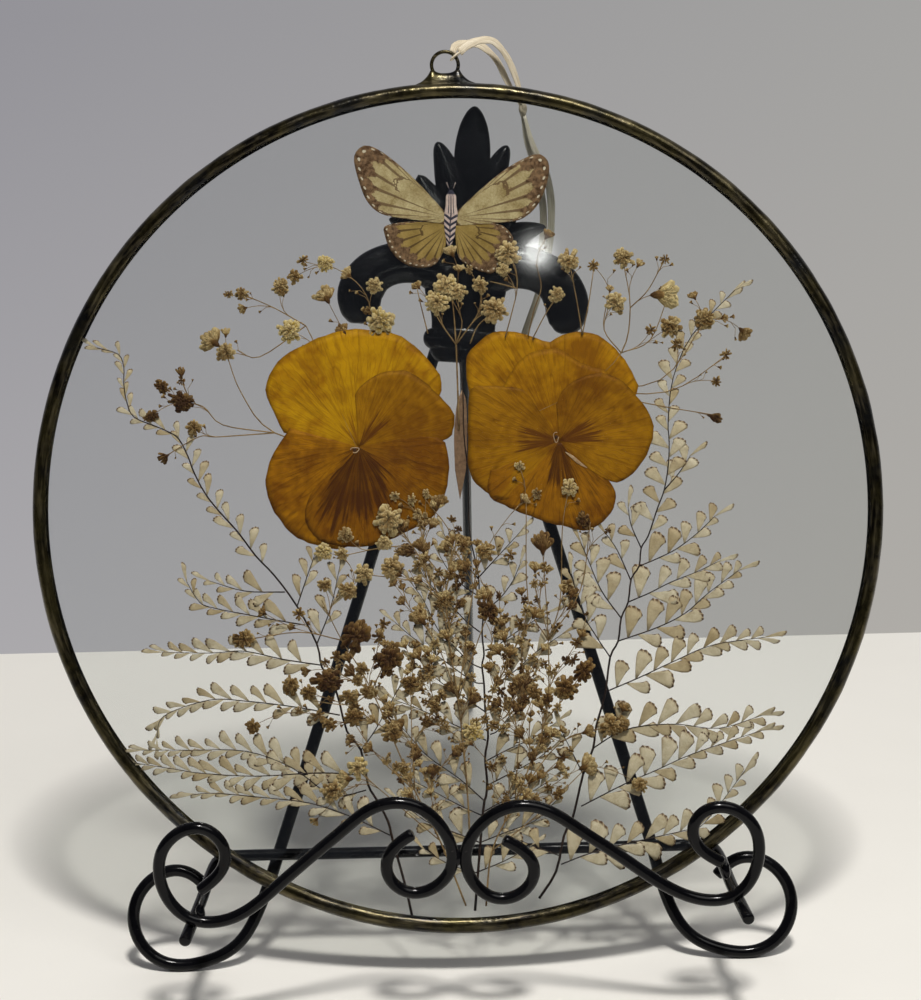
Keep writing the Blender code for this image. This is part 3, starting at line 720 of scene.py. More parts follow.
def lamp(name, place, aim, size, watts, colour):
    """A round lamp at a place, turned to what it lights."""
    data = bpy.data.lights.new(name, "AREA")
    data.shape = "DISK"
    data.size = size
    data.energy = watts
    data.color = colour
    facing = (Vector(place) - Vector(aim)).to_track_quat("Z", "Y")
    show(name, data).matrix_world = moved(*place) @ facing.to_matrix().to_4x4()
    return data


def studio():
    """Soft light from above and in front, a small lamp that shows in the glass, and a pale table."""
    lamp("ceiling_light", (0.15, -0.9, 2.1), (0, 0, 0.1), 0.3, 44.5, (1.0, 0.97, 0.93))
    lamp("right_light", (0.9, -1.3, 2.3), (0, 0, 0.1), 1.6, 18.5, (1.0, 0.99, 0.95))
    glare = DISC_IN_MM @ Vector((76, 227, 1500))
    small = lamp("small_lamp", glare, DISC_CENTRE, 0.075, 0.07, (1.0, 1.0, 0.97))
    small.use_nodes = True
    tree = small.node_tree
    x, y, _ = parts_of(Shade(node(tree, "NewGeometry").outputs["Parametric"]))
    across = x - 0.5
    up = y - 0.5
    glow = (across * across + up * up).maths("SQRT").spread(0.5, 0.1)
    plug(glow.maths("POWER", 5.0), tree.nodes["Emission"].inputs["Strength"])
    world = bpy.data.worlds.new("grey_room")
    world.use_nodes = True
    tree = world.node_tree
    x, y, z = parts_of(Shade(node(tree, "TexCoord").outputs["Generated"]))
    to_right = x.spread(-0.18, 0.18)
    upper = blended(to_right, (0.295, 0.29, 0.315), (0.366, 0.361, 0.352))
    lower = blended(to_right, (0.41, 0.4, 0.415), (0.43, 0.413, 0.385))
    wall = blended(z.spread(-0.1, -0.35), upper, lower)
    room = blended(y.spread(-0.1, 0.7), (0.035, 0.038, 0.045), wall)
    plug(room, tree.nodes["Background"].inputs["Color"])
    bpy.context.scene.world = world
    bpy.context.scene.view_settings.view_transform = "Standard"

    shape = bmesh.new()
    bmesh.ops.create_grid(shape, x_segments=1, y_segments=1, size=1)
    bmesh.ops.scale(shape, vec=(TABLE_HALF_WIDTH, TABLE_HALF_DEPTH, 1), verts=shape.verts)
    bmesh.ops.translate(shape, vec=(0, TABLE_BACK - TABLE_HALF_DEPTH, 0), verts=shape.verts)
    table = show("tabletop", mesh_of(shape, "tabletop", tabletop()))


# Ribbon

# Routes, in millimetres (x, y, z), y measured to the back from the disc's own centre line
STRAND_ROUTES = {
    "ribbon_front_strand": (
        (3.6, 40.4, 264.6), (5.6, 41.6, 266.2), (9.4, 43.6, 267.6), (14, 46.2, 267), (18, 48.4, 262),
        (20.8, 49.2, 255), (22.9, 49.7, 246.6),
    ),
    "ribbon_back_strand": (
        (1.7, 40.9, 264.6), (2.4, 43.0, 266.2), (5.6, 46.2, 266.6), (10.2, 48.4, 265.6), (14.8, 50.4, 261),
        (18.2, 51.2, 254), (22.2, 50.6, 246.4),
    ),
}
TAIL_ROUTES = {
    "ribbon_front_tail": (
        (22.9, 49.7, 244.3), (25.4, 48.7, 235), (29.4, 48, 226), (30.8, 47.6, 216), (30, 47.3, 204),
        (26.8, 47.1, 190), (21.8, 47, 176),
    ),
    "ribbon_back_tail": (
        (22.4, 50.6, 244.1), (23.9, 51, 235), (26.8, 50.4, 226), (28.4, 50, 215), (27.8, 49.6, 203),
        (25.4, 49.4, 192),
    ),
}
KNOT_PLACE = (22.6, 50.2, 245.4)
KNOT_WIDTH = 4.2
RAFFIA_WIDTH = 2.4
RAFFIA_THICKNESS = 0.5
HITCH_ANGLE = math.radians(39)
HITCH_RADIUS = 1.25
HITCH_THICKNESS = 0.7


def row_place(point):
    """A ribbon point, in millimetres, to the row frame."""
    return Vector((point[0] * MM, point[1] * MM + DISC_CENTRE.y, point[2] * MM))


def raffia_strip(name, route, facing, look, gathered_at):
    """A flat strip of raffia along a route, uneven in width and drawn in where the knot holds it."""
    line = evenly([row_place(p) for p in smooth(route, 6)], 34)
    widths = []
    depths = []
    for i in range(len(line)):
        from_knot = abs(i - gathered_at * (len(line) - 1))
        held = 0.42 + 0.58 * min(1.0, from_knot / 9)
        uneven = 1 + 0.18 * noise.noise(Vector((i * 0.35, 2, 0)))
        widths.append(RAFFIA_WIDTH / 2 * MM * held * uneven)
        depths.append(RAFFIA_THICKNESS / 2 * MM * (1 + 0.3 * noise.noise(Vector((i * 0.5, 3, 2)))))
    shape = drawn_bar(line, widths, facing, depths, sides=12)
    return mesh_of(shape, name, look), line


def ribbon():
    """A raffia strip hitched to the ring: two strands over the rim, a knot, and two hanging tails."""
    shape = bmesh.new()
    bmesh.ops.create_icosphere(shape, subdivisions=4, radius=KNOT_WIDTH / 2 * MM)
    for vert in shape.verts:
        turn = math.atan2(vert.co.z, vert.co.x)
        wraps = 0.1 * math.sin(3 * turn + 900 * vert.co.y)
        vert.co *= 0.86 + wraps + 0.06 * noise.noise(vert.co * 1500)
    bmesh.ops.scale(shape, vec=(0.68, 0.62, 1.25), verts=shape.verts)
    bmesh.ops.translate(shape, vec=row_place(KNOT_PLACE), verts=shape.verts)
    knot = stand_in("raffia_knot", mesh_of(shape, "raffia_knot", KNOTTED_RAFFIA), ["ribbon_knot"])

    x = RING_X + RING_RADIUS * math.cos(HITCH_ANGLE)
    y = RING_Y + RING_RADIUS * math.sin(HITCH_ANGLE)
    hook = DISC @ moved(x * MM, y * MM, 0) @ turned(HITCH_ANGLE) @ turned(math.pi / 2, "X")
    shape = bmesh.new()
    bmesh.ops.create_circle(shape, segments=10, radius=HITCH_THICKNESS / 2 * MM)
    bmesh.ops.scale(shape, vec=(1, 2.2, 1), verts=shape.verts)
    bmesh.ops.rotate(shape, matrix=Matrix.Rotation(math.pi / 2, 3, "X"), verts=shape.verts)
    bmesh.ops.rotate(shape, matrix=Matrix.Rotation(math.pi / 2, 3, "Y"), verts=shape.verts)
    bmesh.ops.translate(shape, vec=(HITCH_RADIUS * MM, 0, 0), verts=shape.verts)
    spun(shape, shape.edges[:], 28)
    stand_in("raffia_hitch", mesh_of(shape, "raffia_hitch", RAFFIA, hook), ["ribbon_hitch"])

    for name, route in STRAND_ROUTES.items():
        mesh, line = raffia_strip("raffia" + name[6:], route, (0.5, -0.8, 0.4), RAFFIA, 1)
        strand = stand_in(mesh.name, mesh, [name])
    for name, route in TAIL_ROUTES.items():
        mesh, line = raffia_strip("raffia" + name[6:], route, (0.35, -1, 0), THIN_RAFFIA, 0)
        tail = stand_in(mesh.name, mesh, [name])


# Disc


def solder_rim():
    """The channel of solder: a rounded section turned once round the panes, a little lumpy."""
    half = RIM_HALF_DEPTH
    inner = DISC_RADIUS - RIM_FACE
    section = [(inner, PANE_SEAT), (inner + 0.2, half - 0.6), (inner + 0.9, half - 0.12)]
    for step in range(9):
        turn = math.radians(90 - 22.5 * step)
        section.append((DISC_RADIUS - 2.3 + 2.25 * math.cos(turn), half * math.sin(turn)))
    section += [(r, -z) for r, z in section[2::-1]]
    section += [(PANE_POCKET, -PANE_SEAT), (PANE_POCKET, PANE_SEAT)]
    shape = bmesh.new()
    ring = [shape.verts.new((r, 0, z)) for r, z in section]
    edges = [shape.edges.new(pair) for pair in zip(ring, ring[1:] + ring[:1])]
    spun(shape, edges, 360)
    shape.normal_update()
    for vert in shape.verts:
        if math.hypot(vert.co.x, vert.co.y) > PANE_POCKET - 0.01 or abs(vert.co.z) > PANE_SEAT + 0.01:
            swell = 0.12 * noise.noise(vert.co * 0.12) + 0.06 * noise.noise(vert.co * 0.5)
            vert.co += vert.normal * (swell - 0.02)
    mesh = mesh_of(shape, "soldered_edge", PATINA, DISC_IN_MM)
    stand_in("soldered_edge", mesh, ["solder_rim"])


def hanging_ring():
    """A wire ring, its foot sunk in a mound of solder that climbs its sides and runs out along the rim."""
    shape = bmesh.new()
    bmesh.ops.create_circle(shape, segments=14, radius=RING_WIRE / 2)
    bmesh.ops.rotate(shape, matrix=Matrix.Rotation(math.pi / 2, 3, "X"), verts=shape.verts)
    bmesh.ops.translate(shape, vec=(RING_RADIUS, 0, 0), verts=shape.verts)
    spun(shape, shape.edges[:], 60)
    bmesh.ops.translate(shape, vec=(RING_X, RING_Y, 0), verts=shape.verts)
    softened(shape)
    gathered = Gathering()
    gathered.add(form_of(shape))

    outline = smooth(MOUND_PROFILE, 6)
    half_width = MOUND_PROFILE[-1][0]
    summit = max(height for out, height in MOUND_PROFILE)

    def on_mound(u, v):
        out = half_width * (2 * u - 1)
        x = RING_X + out
        height = np.interp(abs(out), [p.x for p in outline], [p.y for p in outline])
        turn = math.pi * v
        y = math.sqrt(DISC_RADIUS**2 - x**2) - 0.5 + (0.5 + height) * math.sin(turn)
        return Vector((x, y, MOUND_THICKNESS / 2 * (0.6 + 0.4 * height / summit) * math.cos(turn)))

    gathered.add(form_of(blade(on_mound, 60, 12, 0.2, inward=(0, -1, 0))))
    gathered.stand_in("ring_and_mound", [PATINA], "hanging_ring", "patina_solder")


# Easel

LEG_ROD, SUPPORT_ROD, REAR_ROD = 3.7, 3.5, 3.0
LEG_BEHIND, FOOT_BEHIND = 12.25, 9.5
FOOT_RADIUS, FOOT_X, FOOT_Y = 14.4, 85.0, -121.8
BASE_X = -1.5
ARM_HEIGHT, CROSSBAR_Y, SCROLL_Y = 33.6, -22.3, -66.0
REAR_X, REAR_REACH, REAR_FOOT_HEIGHT, REAR_BEND = 3.0, 180.0, 1.0, 5.0
FINIAL_BEHIND, FINIAL_THICKNESS = 2.8, 7.3
FINIAL_X, FINIAL_Y = 2.1, 43.6
FINIAL_TURN = math.radians(-4.3)
LEFT_HALF_WIDER = 1.03
FIT = 0.3

# Left and right scrolls, in millimetres (x, z) in the scrolls' upright plane
LEFT_SCROLL = (
    (-76, 43), (-70, 48.5), (-68.3, 55.4), (-74.9, 62.6), (-85.1, 57.1), (-86.6, 44.9), (-80.3, 35.1),
    (-71, 33.4), (-61.8, 37.2), (-49.4, 47.9), (-35.7, 59.7), (-24.6, 67.8), (-12.8, 67), (-5, 57.1),
    (-5, 46.7), (-14.6, 40.6), (-22.4, 46.5), (-20.6, 54.5), (-14.9, 59.1),
)
RIGHT_SCROLL = (
    (72.6, 47.9), (65, 54.1), (65.7, 62.3), (73.6, 64.9), (81.6, 58.4), (82.3, 46.8), (76.4, 37.7),
    (66, 36.9), (55.5, 41.8), (43.5, 50.8), (33.4, 58.2), (22.7, 65.4), (12.4, 66.4), (3.2, 60), (-0.2, 50),
    (4.2, 41), (11, 38.4), (18, 42.8), (18.3, 50.6), (10.7, 56.7),
)
# Lumps of weld: across, height, radius, and how far behind the scroll's middle
LEFT_WELDS = ((-76.2, 35.6, 1.5, 1.7), (-2.6, 51.5, 1.5, 0.0))
RIGHT_WELDS = ((73.8, 44.6, 1.5, 1.7),)


def forged(name, route, diameter, facing, node_name, lumps=()):
    """A round rod with softly rounded ends, along a route in the row frame, and any lumps of weld on it."""
    line = [Vector(p) for p in route]
    radius = diameter / 2 * MM
    ends = []
    for end, inside in ((line[0], line[1]), (line[-1], line[-2])):
        step = (inside - end).normalized() * radius
        ends.append([end, end + step * 0.12, end + step * 0.4])
    line = ends[0] + line[1:-1] + ends[1][::-1]
    widths = [radius] * len(line)
    for i, share in enumerate((0.72, 0.92, 1.0)):
        widths[i] = widths[-1 - i] = radius * share
    gathered = Gathering()
    gathered.add(form_of(drawn_bar(line, widths, facing, sides=20)))
    for lump in lumps:
        gathered.add(form_of(lump))
    gathered.stand_in(name, [IRON], node_name, "black_iron", Matrix())


def leg(name, side, node_name):
    """One leg with its foot: down the leaning frame, then once round into an open ring."""
    centre = (side * FOOT_X + BASE_X, FOOT_Y)
    route = [
        (side * 8.2 + 3.2, 50.0, LEG_BEHIND),
        (side * 40.3 + 1.0, -52.0, LEG_BEHIND),
        (side * 55.8 - 0.2, -101.0, LEG_BEHIND),
        (side * 60.4 - 1.0, -116.0, 10.6),
        (side * 66.0 - 1.4, -127.6, 9.8),
        (side * 72.4 - 1.4, -133.0, FOOT_BEHIND),
    ]
    for angle in range(-108, 151, 24):
        share = 1.0 - 0.26 * max(0.0, (angle - 80) / 70) ** 1.4
        turned = math.radians(angle)
        route.append((
            centre[0] + side * FOOT_RADIUS * share * math.cos(turned),
            centre[1] + FOOT_RADIUS * share * math.sin(turned),
            FOOT_BEHIND,
        ))
    line = eased(evenly(smooth(route, 6), 180), 300)
    forged(name, [on_disc(*p) for p in line], LEG_ROD, DISC.to_3x3() @ Vector((0, 0, 1)), node_name)


def support_rod():
    """Crossbar and two arms in one bent rod; the disc rests on the arms."""
    route = (
        (-80.4, -72.0, ARM_HEIGHT - 3.5),
        (-77.6, -50.0, ARM_HEIGHT - 1.6),
        (-75.6, -31.0, ARM_HEIGHT),
        (-73.6, -24.2, ARM_HEIGHT),
        (-69.0, CROSSBAR_Y, ARM_HEIGHT),
        (-35.0, CROSSBAR_Y, ARM_HEIGHT),
        (0.0, CROSSBAR_Y, ARM_HEIGHT),
        (35.0, CROSSBAR_Y, ARM_HEIGHT),
        (69.0, CROSSBAR_Y, ARM_HEIGHT),
        (73.6, -24.2, ARM_HEIGHT),
        (75.6, -31.0, ARM_HEIGHT),
        (77.0, -52.0, ARM_HEIGHT + 0.3),
        (79.2, -75.0, ARM_HEIGHT + 0.8),
    )
    forged("bent_support", [row_place(p) for p in smooth(route, 6)], SUPPORT_ROD, (0, 0, 1), "support_rod")


def eased(line, rounds):
    """The same line with its small corners smoothed away: each round pulls it in, then lets it out again."""
    for share in (0.5, -0.507) * rounds:
        middle = [b.lerp((a + c) / 2, share) for a, b, c in zip(line, line[1:], line[2:])]
        line = [line[0], *middle, line[-1]]
    return line


def scroll(name, route, node_name, welds=()):
    """One scroll, its bends eased, with the lumps of weld that join it to what it touches."""
    line = eased(evenly(smooth(route, 6), 160), 300)
    lumps = []
    for x, height, radius, back in welds:
        shape = bmesh.new()
        bmesh.ops.create_icosphere(shape, subdivisions=3, radius=radius * MM)
        for vert in shape.verts:
            vert.co *= 1 + 0.25 * noise.noise(vert.co * 900)
        bmesh.ops.scale(shape, vec=(0.95, 1.0, 1.6), verts=shape.verts)
        bmesh.ops.translate(shape, vec=row_place((x, SCROLL_Y + back, height)), verts=shape.verts)
        softened(shape)
        lumps.append(shape)
    forged(name, [row_place((p.x, SCROLL_Y, p.y)) for p in line], SUPPORT_ROD, (0, 1, 0), node_name, lumps)


def rear_leg():
    """The prop: it runs along the finial's back, bends, and slopes to the surface behind."""
    behind = FINIAL_BEHIND + FINIAL_THICKNESS + FIT + REAR_ROD / 2
    top = on_disc(REAR_X, 56.0, behind)
    bend = on_disc(REAR_X, 46.0, behind)
    foot = row_place((REAR_X, REAR_REACH, REAR_FOOT_HEIGHT))
    above = bend + (top - bend).normalized() * REAR_BEND * MM
    below = bend + (foot - bend).normalized() * REAR_BEND * MM
    turn = [above.lerp(bend, t / 12).lerp(bend.lerp(below, t / 12), t / 12) for t in range(13)]
    forged("rear_prop", [top, *turn, foot], REAR_ROD, (1, 0, 0), "rear_leg")


def cast(gathered, route, thickness, middle, ridge=0.0, steps=6):
    """One leaf or curl of the casting: a domed bar along (x, y, half width) in the finial's own plane."""
    bent = smooth(route, steps)
    line = [Vector((p.x, p.y, middle)) for p in bent]
    spread = [max(0.15, p.z) for p in bent]
    widest = max(spread)
    depths = [thickness / 2 * (width / widest) ** 0.6 for width in spread]
    shape = drawn_bar(line, spread, (0, 0, 1), depths, sides=28)
    if ridge:
        for vert in shape.verts:
            if vert.co.z > middle:
                nearest = min(line, key=lambda p: (p.xy - vert.co.xy).length)
                off = (nearest.xy - vert.co.xy).length
                vert.co.z += ridge * max(0.0, 1 - off / 1.6)
    for side in (1, -1):
        copy = shape.copy()
        if side < 0:
            bmesh.ops.scale(copy, vec=(-LEFT_HALF_WIDER, 1, 1), verts=copy.verts)
            bmesh.ops.recalc_face_normals(copy, faces=copy.faces)
        gathered.add(form_of(copy))
    shape.free()


# Parts of the casting, on its right side or its middle line, in millimetres: (x, y, half width) along each
LANCE = (
    (0, 38, 4.4), (0, 50, 4.6), (0, 58, 5.2), (0, 65, 5.2), (0, 71, 4.2), (0, 75, 2.6), (0, 76.8, 1.2),
    (0, 77.3, 0.2),
)
LEAF = (
    (2.6, 40, 4.6), (4.6, 49, 4.8), (6.6, 56, 4.2), (8.4, 61, 3.0), (9.6, 64, 2.0), (10.2, 65.4, 1.1),
    (10.4, 65.9, 0.2),
)
LOWER_LEAF = (
    (4, 34, 5.2), (8.4, 43, 5.4), (11.4, 48.4, 4.2), (13.4, 52, 2.9), (14.8, 54.6, 1.7), (15.4, 55.7, 0.2),
)
SIDE_LEAF = (
    (5, 31, 5.4), (11, 36.6, 5.2), (15.6, 39.6, 3.8), (19.6, 41.2, 2.3), (22.4, 41.8, 1.1), (23.3, 41.9, 0.2),
)
VOLUTE = (
    (4, 25.5, 7.6), (12, 29.4, 6.8), (20.5, 29, 6.3), (27, 25.8, 6.5), (30.4, 20.4, 6.7),
    (30.6, 15.6, 6.1), (30.1, 12.4, 4.6), (29.7, 10.8, 2.6), (29.6, 10.2, 0.3),
)
STALK = ((0, 44, 5.0), (0, 37, 9.6), (0, 29, 12.0), (0, 21, 11.8), (0, 14, 9.6), (0, 7, 9.2))
BAND = ((0, 10.4, 8.4), (0, 9.4, 10.6), (0, 7.6, 11.5), (0, 5.6, 11.3), (0, 4.2, 10.2), (0, 3.4, 8.4))
FOOT = ((0, 7, 9.6), (0, 3.4, 9.4), (0, 1.2, 8.4), (0, 0.1, 7.2))


def finial():
    """The cast fleur-de-lis: a lance, two pairs of leaves, side leaves, two volutes, a band and a foot."""
    gathered = Gathering()
    middle = -FINIAL_BEHIND - FINIAL_THICKNESS / 2
    full = FINIAL_THICKNESS - 0.1
    cast(gathered, LANCE, 4.6, middle - 0.6, 0.5)
    cast(gathered, LEAF, 6.4, middle, 0.5)
    cast(gathered, LOWER_LEAF, full, middle, 0.5)
    cast(gathered, SIDE_LEAF, 6.6, middle, 0.4)
    cast(gathered, VOLUTE, full - 0.7, middle)
    cast(gathered, [(x, y, width * 0.62) for x, y, width in VOLUTE], full, middle)
    cast(gathered, STALK, full - 0.5, middle)
    cast(gathered, BAND, full, middle)
    cast(gathered, FOOT, full - 0.9, middle)
    turn = moved(FINIAL_X, FINIAL_Y, 0) @ turned(FINIAL_TURN)
    gathered.stand_in("fleur_de_lis", [CAST_IRON], "finial", "black_iron", DISC_IN_MM @ turn)


# Ferns

LEFT_FROND = (
    (412, 915), (405, 884), (393, 841), (388, 821), (377, 800), (368, 784), (361, 750), (347, 731),
    (336, 690), (322, 667), (317, 644), (297, 606), (275, 576), (256, 556), (238, 532), (219, 511),
    (205, 493), (194, 472), (188, 456), (179, 439), (169, 432), (155, 426), (134, 417), (127, 402),
    (124, 384), (124, 367), (118, 354), (97, 348),
)
LEFT_PINNAE = (
    ((390, 835), (350, 816), (310, 803), (270, 798), (215, 793), (190, 795)),
    ((366, 790), (340, 796), (323, 790), (291, 767), (246, 751), (192, 750), (142, 750)),
    ((361, 775), (337, 773), (309, 773), (255, 776), (201, 773), (175, 769), (130, 762)),
    ((340, 715), (296, 707), (246, 701), (209, 700), (164, 716), (157, 739)),
    ((321, 665), (282, 659), (244, 651), (210, 653), (162, 652)),
    ((305, 625), (282, 621), (255, 616), (210, 607), (198, 600), (187, 582)),
    ((285, 592), (245, 591), (210, 581)),
    ((317, 644), (331, 607), (340, 566)),
    ((297, 607), (306, 580), (315, 554)),
    ((361, 750), (377, 727), (409, 669)),
)
CENTRE_FROND = (
    (475, 910), (483, 811), (486, 796), (487, 780), (485, 757), (488, 738), (487, 723), (485, 708),
    (484, 684), (482, 665), (484, 654), (482, 634), (483, 615), (480, 602), (478, 573), (472, 546),
    (469, 522), (468, 474), (464, 434), (463, 394), (460, 367), (457, 345),
)
CENTRE_PINNAE = (
    ((480.6, 597), (465, 587), (450, 572), (440, 556)),
    ((480, 632), (465, 620), (446, 599), (431, 585), (420, 566)),
    ((482, 668), (470, 662), (454, 646), (439, 631), (424, 601), (413, 585)),
    ((483, 683), (473, 681), (449, 664), (430, 650), (410, 635), (395, 622)),
    ((486, 712), (470, 701), (459, 693), (445, 685), (431, 674), (416, 664)),
    ((486, 740), (462, 728), (436, 716), (412, 706), (396, 700)),
    ((484, 800), (459, 778), (428, 756), (409, 735), (398, 722)),
    ((482, 815), (458, 804), (432, 790), (408, 778)),
    ((480, 842), (455, 832), (425, 820), (400, 800)),
    ((476, 872), (450, 864), (425, 850)),
    ((481, 612), (498, 600), (512, 582), (520, 564)),
    ((485, 650), (495, 647), (510, 636), (533, 621), (546, 613)),
    ((488, 692), (502, 680), (518, 668), (533, 654), (547, 644), (562, 634)),
    ((490, 734), (498, 730), (512, 712), (522, 696), (534, 676)),
    ((487, 760), (510, 748), (532, 738), (556, 722)),
    ((487, 785), (512, 772), (536, 759), (556, 744)),
    ((484, 811), (505, 800), (530, 792), (552, 778)),
    ((480, 842), (505, 832), (535, 820), (556, 800)),
    ((476, 872), (505, 860), (530, 846)),
    ((478, 578), (498, 556), (520, 532)),
    ((478, 578), (458, 556), (444, 534)),
)
RIGHT_FROND = (
    (539, 898), (556, 871), (564, 835), (573, 816), (583, 774), (593, 748), (596, 726), (605, 694),
    (610, 657), (618, 641), (621, 618), (628, 602), (631, 579), (639, 566), (641, 548), (648, 536),
    (657, 509), (664, 490), (668, 466), (669, 443), (668, 420), (673, 378), (692, 335), (735, 290),
)
RIGHT_PINNAE = (
    ((561, 864), (593, 852), (641, 840), (685, 830), (704, 823), (745, 770)),
    ((581, 806), (624, 784), (656, 770), (694, 753), (762, 730)),
    ((593, 748), (617, 733), (641, 726), (677, 724), (719, 728), (762, 715)),
    ((607, 691), (640, 677), (674, 661), (712, 645), (765, 637)),
    ((618, 641), (658, 627), (685, 613), (708, 593), (739, 570)),
    ((628, 602), (649, 593), (671, 582), (696, 572), (717, 562)),
    ((639, 566), (656, 559), (676, 549), (696, 534), (715, 516)),
    ((664, 490), (678, 474), (690, 456)),
    ((561, 856), (540, 848), (520, 840)),
    ((583, 774), (572, 752), (562, 732)),
    ((610, 657), (596, 636), (583, 613), (571, 574)),
    ((621, 618), (601, 590), (587, 557), (581, 543)),
    ((631, 581), (617, 550), (606, 534)),
    ((641, 548), (631, 525), (628, 507)),
)
LEAFLET_THICKNESS = 0.07
LEAFLET_KINDS = ((0.07, 0.29), (-0.03, 0.34), (0.11, 0.27), (0.02, 0.31))  # lean and breadth
LEAF_LIMIT = 123.5  # the leaflets end inside the rim


def leaflet_form(hand, lean, breadth):
    """One leaflet, a unit long: a wedge from a narrow foot to a square, lobed end, turned to one hand."""

    def place(u, v):
        off = 2 * u - 1
        half = 0.02 + breadth * min(1.0, 1.06 * v) ** 0.95
        corner = 0.17 * abs(off) ** 3 * v**5
        x = off * half * (1 - 0.1 * v**8) + (0.05 + lean * v) * v
        y = v * (1 - 0.08 * off) - corner + 0.018 * math.cos(9.4 * off) * v**6
        return Vector((hand * x, y, 0.008 * math.sin(3 * off + 4 * v + 9 * lean) * v))

    return form_of(blade(place, 6, 3, LEAFLET_THICKNESS / 7))


def frond(name, stem, pinnae, layer, bare, node_name, seed, grown=1.0, stem_lift=0.0, slim=1.0):
    """A fern frond: a thin black stem, its pinnae, and leaflets on alternate sides of each."""
    draw = random.Random(seed)
    leaflets = {}
    for hand in (-1, 1):
        leaflets[hand] = [leaflet_form(hand, lean, breadth * slim) for lean, breadth in LEAFLET_KINDS]
    narrow = leaflet_form(1, 0.05, 0.1)
    gathered = Gathering()

    def stalk(line, foot, tip):
        widths = [mix(foot, tip, i / (len(line) - 1)) for i in range(len(line))]
        raised_line = [p + Vector((0, 0, stem_lift)) for p in line]
        gathered.add(form_of(drawn_bar(raised_line, widths, (0, 0, 1), sides=5)), slot=1)

    def set_leaflet(form, spot, turn, size, width=1.0):
        tip = spot.xy + Vector((-math.sin(turn), math.cos(turn))) * size
        size -= 1.3 * max(0.0, tip.length - LEAF_LIMIT)
        place = moved(*(spot + Vector((0, 0, draw.uniform(-0.06, 0.06))))) @ turned(turn)
        place = place @ turned(draw.uniform(-0.012, 0.012), "Y") @ sized(size * width, size, size * 0.9)
        gathered.add(form, place, tone=draw.random())

    def leafy(line, spacing, longest, shortest, start=0.04):
        """Leaflets on alternate sides: upright towards the frond's tip, swept back along the other side."""
        total = length_of(line)
        count = max(3, int(total * (1 - start) / spacing))
        fine = evenly(line, 12 * count + 1)
        for i in range(count + 1):
            t = i / count
            if t < start:
                continue
            step = round(12 * count * t * (1.2 - 0.2 * t))
            spot = fine[min(step, 12 * count)]
            along = (fine[min(step + 9, 12 * count)] - fine[max(step - 9, 0)]).normalized()
            side = 1 if i % 2 else -1
            turn = math.atan2(along.y, along.x) - math.pi / 2
            if t > 0.94:
                set_leaflet(narrow, spot, turn + side * math.radians(draw.uniform(2, 14)), shortest * 1.5)
                continue
            upright = side * along.x > 0
            spread = (mix(62, 32, t) if upright else mix(40, 22, t)) * (0.4 + 0.6 * slim)
            size = mix(longest, shortest, t**2) * draw.uniform(0.82, 1.12) * (1.0 if upright else 0.92)
            turn += side * math.radians(spread + draw.uniform(-9, 9))
            set_leaflet(draw.choice(leaflets[side]), spot, turn, size, mix(1.0, 0.8, t))

    def line_of(pixels, steps):
        return [Vector((*p, layer)) for p in smooth([at(p) for p in pixels], steps)]

    main_line = line_of(stem, 3)
    stalk(main_line, 0.42, 0.12)
    if bare:
        leafy(line_of(stem[bare:], 3), 2.4 * grown, 7.4 * grown, 4.0 * grown)
    for pinna in pinnae:
        line = line_of(pinna, 4)
        stalk(line, 0.22, 0.09)
        reach = length_of(line)
        leafy(line, 2.5 * grown, min(9.2, 5.8 + reach * 0.11) * grown, 4.4 * grown, start=2.2 / reach)
    gathered.stand_in(name, [LEAFLET, FERN_STEM], node_name, "fern_leaf")


# Baby's breath

